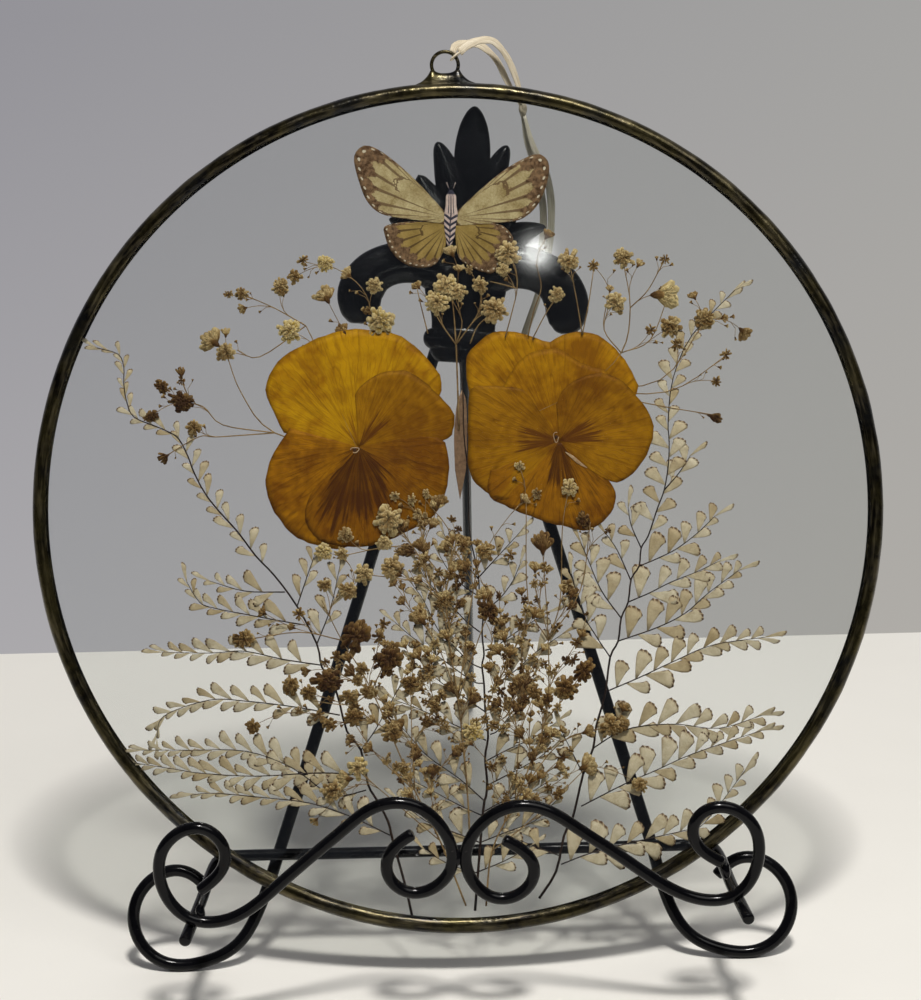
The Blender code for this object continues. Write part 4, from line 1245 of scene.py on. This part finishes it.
# Each sprig: its stem and twigs by pixel, then its heads (x, y, radius, tone) by pixel
SPRIGS = {
    "sprig_upper_left": (
        ((436, 474), (360, 455), (275, 433), (242, 394), (226, 352)),
        (
            ((360, 455), (332, 390), (306, 326), (289, 331)),
            ((360, 455), (362, 392), (352, 330)),
            ((360, 455), (384, 390), (381, 321)),
            ((275, 433), (223, 425), (204, 407), (183, 402)),
            ((275, 433), (218, 437), (199, 437), (166, 456)),
            ((306, 326), (260, 357), (237, 350)),
            ((306, 326), (276, 309), (249, 297)),
        ),
        (
            (303, 261, 6.5, 0.5), (325, 264, 9.5, 1.0), (295, 277, 8, 0.45), (280, 288, 10, 0.5),
            (229, 295, 5, 0.4), (242, 294, 7.5, 0.45), (243, 309, 5, 0.5), (325, 295, 10, 0.5),
            (347, 274, 6, 0.6), (375, 286, 9, 0.7), (289, 331, 13, 1.0), (343, 330, 7, 0.3),
            (381, 321, 16, 0.9), (368, 311, 5, 0.3), (211, 340, 11, 0.55), (226, 333, 5, 0.5),
            (226, 352, 11, 0.55), (181, 373, 5.5, 0.2), (182, 381, 4.5, 0.2), (162, 387, 8, 0.2),
            (183, 402, 13, 0.08), (152, 416, 8, 0.1), (194, 428, 9, 0.4), (164, 458, 6, 0.15),
        ),
    ),
    "sprig_top": (
        ((459, 430), (456, 345), (452, 300), (446, 286)),
        (
            ((456, 345), (440, 322), (430, 302)),
            ((428, 334), (421, 306), (417, 288)),
            ((456, 345), (462, 322), (452, 300)),
            ((456, 345), (480, 310), (480, 286)),
            ((470, 344), (478, 326), (494, 312)),
            ((505, 338), (512, 312), (517, 289), (515, 267), (508, 262)),
            ((517, 289), (503, 285), (490, 282)),
            ((528, 336), (534, 310), (541, 288), (536, 265)),
            ((532, 340), (545, 315), (557, 297)),
            ((582, 335), (577, 304), (571, 272)),
            ((582, 335), (588, 306), (593, 272)),
        ),
        (
            (451, 252, 7, 0.6), (459, 269, 5, 0.6), (469, 270, 5, 0.55), (507, 254, 14, 0.72),
            (503, 270, 8, 0.75), (446, 286, 12.5, 0.75), (437, 302, 13, 0.8), (457, 292, 10.5, 0.7),
            (480, 286, 9.5, 0.6), (494, 310, 15, 0.6), (417, 286, 5, 0.4), (548, 235, 6, 0.25),
            (569, 261, 12, 0.65), (557, 295, 9, 0.65),
        ),
    ),
    "sprig_upper_right": (
        ((520, 420), (580, 390), (621, 353), (630, 308), (623, 262)),
        (
            ((621, 353), (604, 330), (607, 300)),
            ((630, 308), (648, 290), (663, 262)),
            ((621, 353), (650, 340), (668, 296)),
            ((580, 390), (660, 380), (704, 322)),
            ((580, 390), (666, 392), (724, 358)),
            ((580, 390), (660, 406), (714, 415)),
        ),
        (
            (593, 266, 6, 0.5), (623, 258, 11, 0.6), (639, 264, 5, 0.5), (665, 260, 5.5, 0.4),
            (665, 295, 15, 0.82), (615, 303, 12, 0.7), (610, 289, 4, 0.5), (693, 296, 5, 0.4),
            (670, 327, 12, 0.5), (651, 330, 6, 0.4), (677, 344, 7, 0.4), (704, 319, 12, 0.5),
            (724, 318, 4, 0.35), (744, 333, 7.5, 0.35), (726, 355, 6.5, 0.4), (716, 381, 6, 0.35),
            (714, 417, 7, 0.12),
        ),
    ),
    "sprig_lower_left": (
        ((466, 905), (440, 840), (415, 790), (372, 690), (342, 640), (322, 600)),
        (
            ((440, 840), (400, 806), (358, 770)),
            ((415, 790), (378, 756), (354, 722)),
            ((372, 690), (350, 704), (309, 700)),
            ((372, 690), (345, 676), (322, 664)),
            ((342, 640), (300, 632), (244, 640)),
            ((415, 790), (412, 740), (411, 694)),
            ((372, 690), (386, 655), (380, 622)),
        ),
        (
            (324, 552, 10, 0.95), (342, 554, 8, 0.6), (364, 574, 11, 0.7), (324, 585, 8, 0.5),
            (348, 591, 10, 0.5), (299, 614, 7, 0.4), (292, 627, 4.5, 0.3), (244, 639, 12, 0.38),
            (263, 612, 5, 0.3), (356, 637, 17, 0.15), (384, 624, 6, 0.3), (379, 637, 7, 0.2),
            (388, 659, 17, 0.1), (362, 669, 8, 0.4), (336, 656, 6, 0.3), (326, 662, 5, 0.3),
            (328, 681, 15, 0.12), (306, 671, 5.5, 0.3), (291, 685, 11, 0.4), (309, 692, 9, 0.35),
            (349, 697, 10, 0.4), (368, 692, 8, 0.4), (354, 717, 11, 0.35), (319, 715, 7, 0.4),
            (329, 724, 8, 0.4), (299, 711, 5, 0.4), (253, 726, 8.5, 0.36), (393, 732, 12, 0.45),
            (411, 684, 10, 0.3), (434, 706, 8, 0.4), (358, 768, 12, 0.85), (345, 779, 9, 0.6),
            (333, 791, 12, 0.55), (315, 821, 5, 0.5),
        ),
    ),
    "sprig_middle": (
        ((470, 880), (468, 800), (458, 700), (440, 600), (412, 545), (389, 519)),
        (
            ((458, 700), (440, 650), (420, 617)),
            ((440, 600), (416, 582), (364, 574)),
            ((412, 545), (380, 548), (342, 556)),
            ((440, 600), (452, 540), (426, 500)),
            ((458, 700), (478, 640), (489, 611)),
            ((458, 700), (470, 610), (480, 552)),
        ),
        (
            (420, 617, 10, 0.4), (489, 611, 13, 0.15), (510, 555, 6.5, 0.4), (485, 551, 11, 0.5),
            (412, 500, 6, 0.7), (395, 496, 6, 0.7), (426, 494, 5, 0.7), (389, 519, 16, 0.65),
            (346, 535, 8, 0.5), (384, 543, 9, 0.7), (391, 568, 13, 0.6), (519, 466, 6, 0.8),
            (473, 731, 12, 0.95), (524, 499, 5.5, 0.5), (536, 494, 6, 0.5),
        ),
    ),
    "sprig_lower_right": (
        ((486, 905), (492, 850), (515, 800), (545, 720), (548, 640), (542, 545)),
        (
            ((492, 850), (540, 812), (588, 765)),
            ((515, 800), (560, 742), (610, 726)),
            ((515, 800), (520, 735), (534, 694)),
            ((545, 720), (570, 690), (583, 670)),
            ((548, 640), (528, 600), (526, 500)),
            ((548, 640), (580, 590), (590, 522)),
            ((548, 640), (560, 600), (562, 530), (568, 490)),
        ),
        (
            (524, 600, 5, 0.15), (542, 543, 11, 0.15), (536, 613, 7, 0.4), (510, 651, 7, 0.3),
            (583, 520, 9, 0.15), (583, 670, 13, 0.2), (565, 688, 14, 0.3), (534, 692, 9, 0.35),
            (610, 726, 13, 0.45), (622, 723, 7, 0.3), (588, 731, 7, 0.4), (588, 765, 10, 0.5),
            (639, 784, 9, 0.5), (624, 707, 5.5, 0.3), (607, 531, 4, 0.2), (569, 488, 10, 0.8),
        ),
    ),
}
# Heads too many to place one by one: sprig, the patch's middle, half width and half height, how many heads
THICKETS = (
    ("sprig_lower_left", (390, 690), (62, 80), 40),
    ("sprig_middle", (435, 560), (48, 62), 56),
    ("sprig_middle", (470, 660), (62, 90), 66),
    ("sprig_lower_right", (535, 640), (58, 78), 50),
    ("sprig_lower_right", (520, 740), (62, 46), 26),
    ("sprig_lower_left", (425, 775), (46, 45), 16),
    ("sprig_lower_right", (530, 785), (44, 36), 18),
)


def blossom_petal_form(breadth):
    """One petal of a head, a unit long, narrow at its foot, with a rounded and slightly notched end."""

    def place(u, v):
        off = 2 * u - 1
        half = 0.04 + breadth * math.sin(v * 2.1)
        notch = 0.16 * off * off + 0.07 * (1 - abs(off))
        return Vector((off * half, v * (1 - notch * v), 0.1 * off * off * v + 0.05 * v))

    return form_of(blade(place, 2, 2, 0.03))


def calyx_form():
    """The small cup that holds a head, a unit long."""
    line = [Vector((0, y, 0)) for y in (0, 0.25, 0.6, 0.85, 1.0)]
    widths = [0.08, 0.26, 0.34, 0.24, 0.1]
    depths = [0.05, 0.14, 0.18, 0.14, 0.05]
    return form_of(drawn_bar(line, widths, (0, 0, 1), depths, sides=6))


def head(gathered, petals, cup, draw, centre, radius, tone, outward):
    """A pressed flower head: seen from the side as a fan of petals on a cup, or from above as a rosette."""
    turn = math.atan2(outward.y, outward.x) - math.pi / 2
    here = moved(*centre) @ turned(turn)
    if tone < 0.25:
        here = here @ sized(0.85, 1.15, 1)

    def lay(place, size, width, height, shade):
        form = draw.choice(petals)
        gathered.add(form, place @ sized(size * width, size, size * height), tone=shade)

    big = radius > BIG_HEAD
    if draw.random() < (0.12 if big else 0.55):
        foot = here @ moved(0, -radius, 0)
        gathered.add(cup, foot @ Matrix.Scale(radius, 4), tone=tone * 0.4)
        reach = draw.uniform(38, 62)
        rows = ((13, 1.8), (12, 1.6), (10, 1.35), (7, 1.05)) if big else ((7, 1.9), (5, 1.5), (4, 1.1))
        for row, (count, share) in enumerate(rows):
            for step in range(count):
                spread = math.radians(reach * (2 * (step + 0.5) / count - 1) + draw.uniform(-7, 7))
                place = foot @ moved(0, radius * 0.3, 0.05 * row) @ turned(spread)
                size = radius * share * draw.uniform(0.8, 1.05)
                lay(place, size, 0.7, 0.3, tone + draw.uniform(-0.18, 0.16))
        return
    rings = ((9, 1.05), (7, 0.8), (5, 0.5))
    if big:
        rings = ((16, 1.0), (15, 0.86), (13, 0.7), (10, 0.52), (6, 0.36))
    for ring, (count, share) in enumerate(rings):
        for step in range(count):
            spread = math.tau * (step + 0.5 * ring) / count + draw.uniform(-0.3, 0.3)
            right = draw.uniform(-0.12, 0.12) * radius
            up = draw.uniform(-0.12, 0.12) * radius
            place = here @ moved(right, up, 0.05 * ring) @ turned(spread) @ turned(0.1 * ring, "X")
            size = radius * share * draw.uniform(0.75, 1.15)
            lay(place, size, 0.85, 0.5, tone + draw.uniform(-0.2, 0.16) - 0.03 * ring)


def sprig(name, stem, twigs, heads, layer, seed):
    """A baby's breath sprig: a twig grows to each head from the nearest stem, with small buds on the way."""
    draw = random.Random(seed)
    petals = [blossom_petal_form(breadth) for breadth in (0.13, 0.17, 0.21)]
    cup = calyx_form()
    gathered = Gathering()
    root = at(stem[0])
    knots = []

    def stalk(line, foot, tip, joins=True):
        heights = [layer + 0.06 * math.sin(i) for i in range(len(line))]
        points = [Vector((p.x, p.y, z)) for p, z in zip(line, heights)]
        widths = [mix(foot, tip, i / (len(line) - 1)) for i in range(len(line))]
        gathered.add(form_of(drawn_bar(points, widths, (0, 0, 1), sides=5)), tone=draw.random(), slot=1)
        if joins:
            for point, after in zip(line[1:-1], line[2:]):
                knots.append((point, (after - point).normalized()))

    def bud(start, along):
        turn = draw.choice((-1, 1)) * math.radians(draw.uniform(20, 50))
        out = Matrix.Rotation(turn, 2) @ along
        reach = draw.uniform(1.4, 4.8)
        middle = start + (along + out) * reach * 0.28
        tip = start + out * reach
        stalk([start, middle, tip], 0.09, 0.07, joins=False)
        size = draw.uniform(0.5, 1.1)
        place = moved(*tip, layer) @ turned(math.atan2(out.y, out.x) - math.pi / 2)
        gathered.add(cup, place @ Matrix.Scale(size, 4), tone=0.2)
        for spread in (-0.5, 0.0, 0.45):
            opened = place @ moved(0, size * 0.5, 0.04) @ turned(spread + draw.uniform(-0.2, 0.2))
            opened = opened @ sized(size * 1.2, size * 1.1, size * 0.4)
            gathered.add(petals[2], opened, tone=draw.uniform(0.2, 0.7))

    for i, route in enumerate((stem, *twigs)):
        stalk(smooth([at(p) for p in route], 4), 0.3 if i == 0 else 0.2, 0.13)
    for x, y, radius, tone in heads:
        centre = at((x, y))
        size = radius * MM_PER_PIXEL
        best = None
        for place, along in knots:
            away = centre - place
            if away.length < size + 2.0 or (place - root).length > (centre - root).length - 2.0:
                continue
            turn = 1 - away.normalized().dot(along)
            cost = abs(away.length - 9.0) + 9.0 * turn
            if best is None or cost < best[0]:
                best = (cost, place, along)
        if best is None:
            continue
        _, place, along = best
        away = centre - place
        bow = place + along * away.length * 0.4
        foot = centre - (centre - bow).normalized() * size * 0.55
        line = [place.lerp(bow, t / 5).lerp(bow.lerp(foot, t / 5), t / 5) for t in range(6)]
        stalk(line, 0.14, 0.09)
        lift = layer + draw.uniform(-0.08, 0.08)
        head(gathered, petals, cup, draw, Vector((*centre, lift)), size, tone, (centre - bow).normalized())
        for step in draw.sample((1, 2, 3), draw.choice((1, 1, 2))):
            bud(line[step], (line[step + 1] - line[step]).normalized())
    gathered.stand_in("breath" + name[5:], [BLOSSOM, SPRIG_STEM], name, "dried_blossom")


def sprigs():
    """Every sprig, with the heads of its patches drawn inside their ovals."""
    draw = random.Random(SEED)
    for number, (name, (stem, twigs, heads)) in enumerate(SPRIGS.items()):
        more = []
        for sprig_name, middle, reach, count in THICKETS:
            while sprig_name == name and count:
                x, y = draw.uniform(-1, 1), draw.uniform(-1, 1)
                if x * x + y * y < 1:
                    place = (middle[0] + reach[0] * x, middle[1] + reach[1] * y)
                    more.append((*place, draw.uniform(3, 7.5), draw.choice((0.1, 0.2, 0.3, 0.4, 0.5, 0.6))))
                    count -= 1
        root = at(stem[0])
        ordered = sorted((*heads, *more), key=lambda h: (at(h[:2]) - root).length)
        sprig(name, stem, twigs, ordered, SPRIG_LAYERS[name], SEED + number)


# Petals

# Each petal: its root pixel, its edge by pixel from one side of the root to the other, and its layer
LEFT_PANSY_PETALS = (
    ("upper", (359, 447), (
        (284, 433), (270, 404), (266, 385), (282, 358), (317, 339), (346, 330), (380, 331), (406, 339),
        (430, 362), (442, 386), (430, 420)), 0),
    ("lower", (359, 447), (
        (290, 428), (271, 459), (266, 485), (272, 507), (284, 525), (299, 539), (322, 546), (350, 545),
        (370, 500)), 1),
    ("side", (359, 447), (
        (355, 396), (361, 386), (377, 375), (392, 371), (409, 372), (427, 384), (442, 399), (454, 413),
        (453, 430), (445, 440), (406, 452)), 2),
    ("lip", (359, 447), (
        (343, 466), (317, 486), (307, 504), (305, 519), (313, 534), (322, 542), (343, 546), (370, 546),
        (400, 535), (430, 519), (443, 500), (448, 479), (449, 460), (440, 438), (395, 440)), 3),
)
RIGHT_PANSY_PETALS = (
    ("upper", (559, 441), (
        (470, 400), (466, 360), (480, 341), (496, 332), (521, 333), (537, 339), (550, 342), (562, 335),
        (587, 332), (606, 341), (622, 356), (635, 379), (637, 391), (625, 420)), 0),
    ("upper", (559, 441), (
        (500, 392), (513, 369), (524, 357), (537, 351), (559, 349), (576, 360), (592, 367), (607, 372),
        (612, 400)), 1),
    ("side", (559, 441), (
        (537, 409), (528, 394), (517, 388), (491, 386), (473, 387), (469, 397), (468, 416), (468, 440),
        (469, 471), (482, 489), (505, 500), (530, 480)), 2),
    ("side", (559, 441), (
        (556, 405), (563, 390), (578, 379), (599, 373), (617, 378), (632, 391), (647, 410), (653, 428),
        (650, 447), (637, 469), (620, 482), (607, 480), (590, 470)), 3),
    ("lip", (559, 441), (
        (590, 462), (604, 476), (612, 485), (616, 497), (611, 512), (600, 524), (583, 531), (565, 526),
        (551, 524), (530, 516), (505, 506), (488, 494), (490, 470)), 2),
)
BROWNED_PETAL_EDGE = (
    (455, 470), (454, 440), (455, 420), (458, 397), (463, 390), (466, 400), (467, 425), (467, 450),
    (466, 470),
)


# Each pansy's eye: its middle by pixel, the curl's half width and half height in millimetres, where it opens
LEFT_EYE = ((355, 450), 1.2, 0.75, math.radians(-120))
RIGHT_EYE = ((556, 437), 0.75, 1.5, math.radians(60))
RIGHT_FOLD = ((565, 452), (572, 457), (579, 463), (587, 468))


def petal_form(root, edge, layer, draw, across=40, along=14, ruffle=0.015):
    """A petal between its root and its edge, with soft folds that open outwards and a gently waved edge."""
    start = Vector(at(root))
    rim = evenly(smooth([at(p) for p in edge], 6), across + 1)
    shift = draw.uniform(0, 9)

    def place(u, v):
        wave = 1 + ruffle * noise.noise(Vector((u * 22 + shift, 0, 0))) * v**6
        spot = start.lerp(rim[round(u * across)], v * wave)
        fold = noise.noise(Vector((u * 7 + shift, v * 1.5, 0))) * 0.05 * v
        return Vector((spot.x, spot.y, layer + fold))

    return form_of(blade(place, across, along, PETAL_THICKNESS))


def pansy(name, petals, finishes, node_name, seed, eye, slit=()):
    """One flower: its petals, a dark eye with a pale curl round it, and a pale fold between two petals."""
    draw = random.Random(seed)
    gathered = Gathering()
    kinds = list(finishes)
    for kind, root, edge, lift in petals:
        form = petal_form(root, edge, PETAL_LAYER + PETAL_STEP * lift, draw)
        gathered.add(form, tone=draw.random(), slot=kinds.index(kind))
    above = PETAL_LAYER + PETAL_STEP * 4
    centre, across, along, opening = eye
    curl = []
    for step in range(25):
        turn = opening + math.radians(300) * step / 24
        reach = 1 + 0.12 * math.sin(turn * 3)
        spot = at(centre) + Vector((across * math.cos(turn), along * math.sin(turn))) * reach
        curl.append(Vector((*spot, above)))
    gathered.add(form_of(drawn_bar(curl, [0.13] * 25, (0, 0, 1), [0.08] * 25, sides=6)), slot=len(kinds))
    middle = Vector((*at(centre), above - 0.05))
    dot = [middle + Vector((0.28 * t, 0.5 * t, 0)) for t in (-1, -0.6, 0, 0.6, 1)]
    widths = [0.1, 0.4, 0.5, 0.4, 0.1]
    depths = [0.05, 0.12, 0.14, 0.12, 0.05]
    gathered.add(form_of(drawn_bar(dot, widths, (0, 0, 1), depths)), slot=len(kinds) + 1)
    if slit:
        line = [Vector((*p, above)) for p in smooth([at(p) for p in slit], 4)]
        widths = [0.08 + 0.42 * math.sin(math.pi * i / (len(line) - 1)) for i in range(len(line))]
        gathered.add(form_of(drawn_bar(line, widths, (0, 0, 1), [0.04] * len(line))), slot=len(kinds))
    gathered.stand_in(name, [*finishes.values(), PETAL_FOLD, FLOWER_EYE], node_name, "pansy_petal")


def browned_petal():
    """The loose petal between the two flowers."""
    gathered = Gathering()
    gathered.add(petal_form((460, 500), BROWNED_PETAL_EDGE, PETAL_LAYER + 0.1, random.Random(5), 16, 16))
    gathered.stand_in("brown_petal", [BROWN_PETAL], "browned_petal", "browned_petal")


# Butterfly

# Each wing: its root, then its edge by pixel from the leading side round to the trailing side
FORE_WINGS = (
    ((447, 218), (
        (443, 210), (413, 178), (386, 155), (368, 146), (358, 150), (354, 161), (360, 185), (368, 203),
        (383, 215), (413, 220), (443, 224),
    )),
    ((455, 218), (
        (458, 211), (486, 185), (511, 166), (534, 155), (544, 157), (549, 166), (547, 183), (539, 203),
        (527, 216), (511, 222), (458, 226),
    )),
)
HIND_WINGS = (
    ((447, 226), (
        (443, 224), (413, 222), (386, 226), (385, 236), (391, 251), (403, 263), (419, 268), (436, 264),
        (446, 246),
    )),
    ((455, 226), (
        (458, 226), (497, 224), (512, 236), (511, 246), (496, 271), (482, 272), (461, 261), (456, 246),
    )),
)
BODY_LINE = ((451, 191), (451, 197), (451, 206), (451, 215), (450, 226), (450, 236), (449, 246))
BODY_WIDTHS = (2.0, 5.2, 5.4, 7.0, 6.0, 4.8, 2.0)


def butterfly():
    """Four wings and a body, pressed flat."""
    gathered = Gathering()
    draw = random.Random(3)
    for slot, (wings, lift) in enumerate(((HIND_WINGS, 0.0), (FORE_WINGS, PETAL_STEP))):
        for root, edge in wings:
            gathered.add(petal_form(root, edge, WING_LAYER + lift, draw, 48, 16, ruffle=0.0), slot=slot)
    line = [Vector((*at(p), WING_LAYER + 0.12)) for p in smooth(BODY_LINE, 4)]
    places = np.linspace(0, 1, len(line))
    widths = list(np.interp(places, np.linspace(0, 1, len(BODY_WIDTHS)), BODY_WIDTHS) * MM_PER_PIXEL)
    depths = [min(0.34, width * 0.6) for width in widths]
    gathered.add(form_of(drawn_bar(line, widths, (0, 0, 1), depths, sides=16)), slot=2)
    for side in (-1, 1):
        pixels = [(451 + side * (1 + 3.5 * t), 192 - 9 * t) for t in (0, 0.35, 0.7, 1)]
        feeler = [Vector((*at(p), WING_LAYER + 0.1)) for p in pixels]
        gathered.add(form_of(drawn_bar(feeler, [0.09, 0.08, 0.08, 0.14], (0, 0, 1), sides=5)), slot=2)
    gathered.stand_in("pressed_butterfly", [HIND_WING, FORE_WING, INSECT], "butterfly", "butterfly_wing")


GLASS = clear_glass()
PATINA = patina_solder()
IRON = black_iron("black_iron", 0.16, 0.1, 0.18)
CAST_IRON = black_iron("cast_iron", 0.25, 0.16, 0.24)
RAFFIA = raffia("raffia", (0.4, 0.33, 0.22), (0.62, 0.54, 0.4), (0.76, 0.69, 0.55))
THIN_RAFFIA = raffia("thin_raffia", (0.3, 0.275, 0.205), (0.43, 0.4, 0.32), (0.57, 0.53, 0.44))
LEAFLET = fern_leaflet()
FERN_STEM = plain_stem("fern_stem", (0.006, 0.004, 0.004), (0.03, 0.016, 0.01), 0.45)
SPRIG_STEM = plain_stem("sprig_stem", (0.1, 0.055, 0.018), (0.3, 0.2, 0.085), 0.6)
BLOSSOM = dried_blossom()
BROWN_PETAL = plain_stem("browned_petal", (0.1, 0.055, 0.03), (0.24, 0.15, 0.085), 0.55)
PETAL_FOLD = plain_stem("petal_fold", (0.26, 0.15, 0.06), (0.62, 0.48, 0.3), 0.55)
FLOWER_EYE = plain_stem("flower_eye", (0.02, 0.008, 0.004), (0.07, 0.03, 0.012), 0.6)
KNOTTED_RAFFIA = raffia("knotted_raffia", (0.17, 0.145, 0.1), (0.26, 0.225, 0.16), (0.36, 0.32, 0.24))
LEFT_FINISHES = {
    "upper": pansy_petal(
        "golden_petal", (0.26, 0.105, 0.001), (0.46, 0.24, 0.002), (0.19, 0.07, 0.001), (0.2, 0.075, 0.002),
        0.22,
    ),
    "lower": pansy_petal(
        "ochre_petal", (0.17, 0.06, 0.001), (0.34, 0.145, 0.002), (0.09, 0.028, 0.001), (0.09, 0.03, 0.003),
        0.2,
    ),
    "side": pansy_petal(
        "amber_petal", (0.17, 0.065, 0.001), (0.31, 0.142, 0.002), (0.13, 0.045, 0.001),
        (0.085, 0.024, 0.003), 0.4, 0.28, 0.36,
    ),
    "lip": pansy_petal(
        "russet_petal", (0.15, 0.052, 0.001), (0.26, 0.106, 0.002), (0.07, 0.022, 0.002),
        (0.045, 0.013, 0.002), 0.72, 0.34, 0.36, 46.0, 0.5,
    ),
}
RIGHT_FINISHES = {
    "upper": pansy_petal(
        "tawny_petal", (0.22, 0.085, 0.001), (0.4, 0.19, 0.002), (0.15, 0.052, 0.001), (0.2, 0.075, 0.002),
        0.22,
    ),
    "side": pansy_petal(
        "honey_petal", (0.17, 0.065, 0.001), (0.3, 0.137, 0.002), (0.12, 0.04, 0.001), (0.085, 0.024, 0.003),
        0.42, 0.3,
    ),
    "lip": pansy_petal(
        "umber_petal", (0.16, 0.056, 0.001), (0.28, 0.115, 0.002), (0.07, 0.022, 0.002), (0.05, 0.014, 0.002),
        0.55, 0.3,
    ),
}
FORE_WING = butterfly_wing(
    "fore_wing", (0.25, 0.185, 0.075), (0.5, 0.42, 0.23), (0.1, 0.052, 0.024), 0.56,
    (
        (0.0, 0.97), (0.2, 0.92), (0.34, 0.8), (0.44, 0.76), (0.56, 0.8), (0.7, 0.86), (0.82, 0.93),
        (1.0, 0.98),
    ),
)
HIND_WING = butterfly_wing(
    "hind_wing", (0.2, 0.13, 0.03), (0.32, 0.225, 0.07), (0.05, 0.025, 0.01), 0.42,
    ((0.0, 0.98), (0.12, 0.9), (0.3, 0.76), (0.6, 0.74), (0.85, 0.8), (0.95, 0.95), (1.0, 0.98)),
)
INSECT = insect_body()

camera()
ribbon()
studio()
for node_name in ("front_glass", "back_glass"):
    bpy.data.objects[node_name].data.materials[0] = GLASS
solder_rim()
hanging_ring()
leg("iron_leg_left", -1, "left_leg")
leg("iron_leg_right", 1, "right_leg")
rear_leg()
support_rod()
scroll("iron_scroll_left", LEFT_SCROLL, "left_scroll", LEFT_WELDS)
scroll("iron_scroll_right", RIGHT_SCROLL, "right_scroll", RIGHT_WELDS)
finial()
frond("fern_left", LEFT_FROND, LEFT_PINNAE, FERN_LAYER - 0.08, 12, "left_frond", 1, 0.92, 0.0, 0.7)
frond("fern_centre", CENTRE_FROND, CENTRE_PINNAE, FERN_LAYER, 0, "centre_frond", 2, 0.88, 0.75, 0.9)
frond("fern_right", RIGHT_FROND, RIGHT_PINNAE, FERN_LAYER + 0.08, 14, "right_frond", 3)
sprigs()
pansy("pansy_left", LEFT_PANSY_PETALS, LEFT_FINISHES, "left_pansy", 7, LEFT_EYE)
pansy("pansy_right", RIGHT_PANSY_PETALS, RIGHT_FINISHES, "right_pansy", 8, RIGHT_EYE, RIGHT_FOLD)
browned_petal()
butterfly()
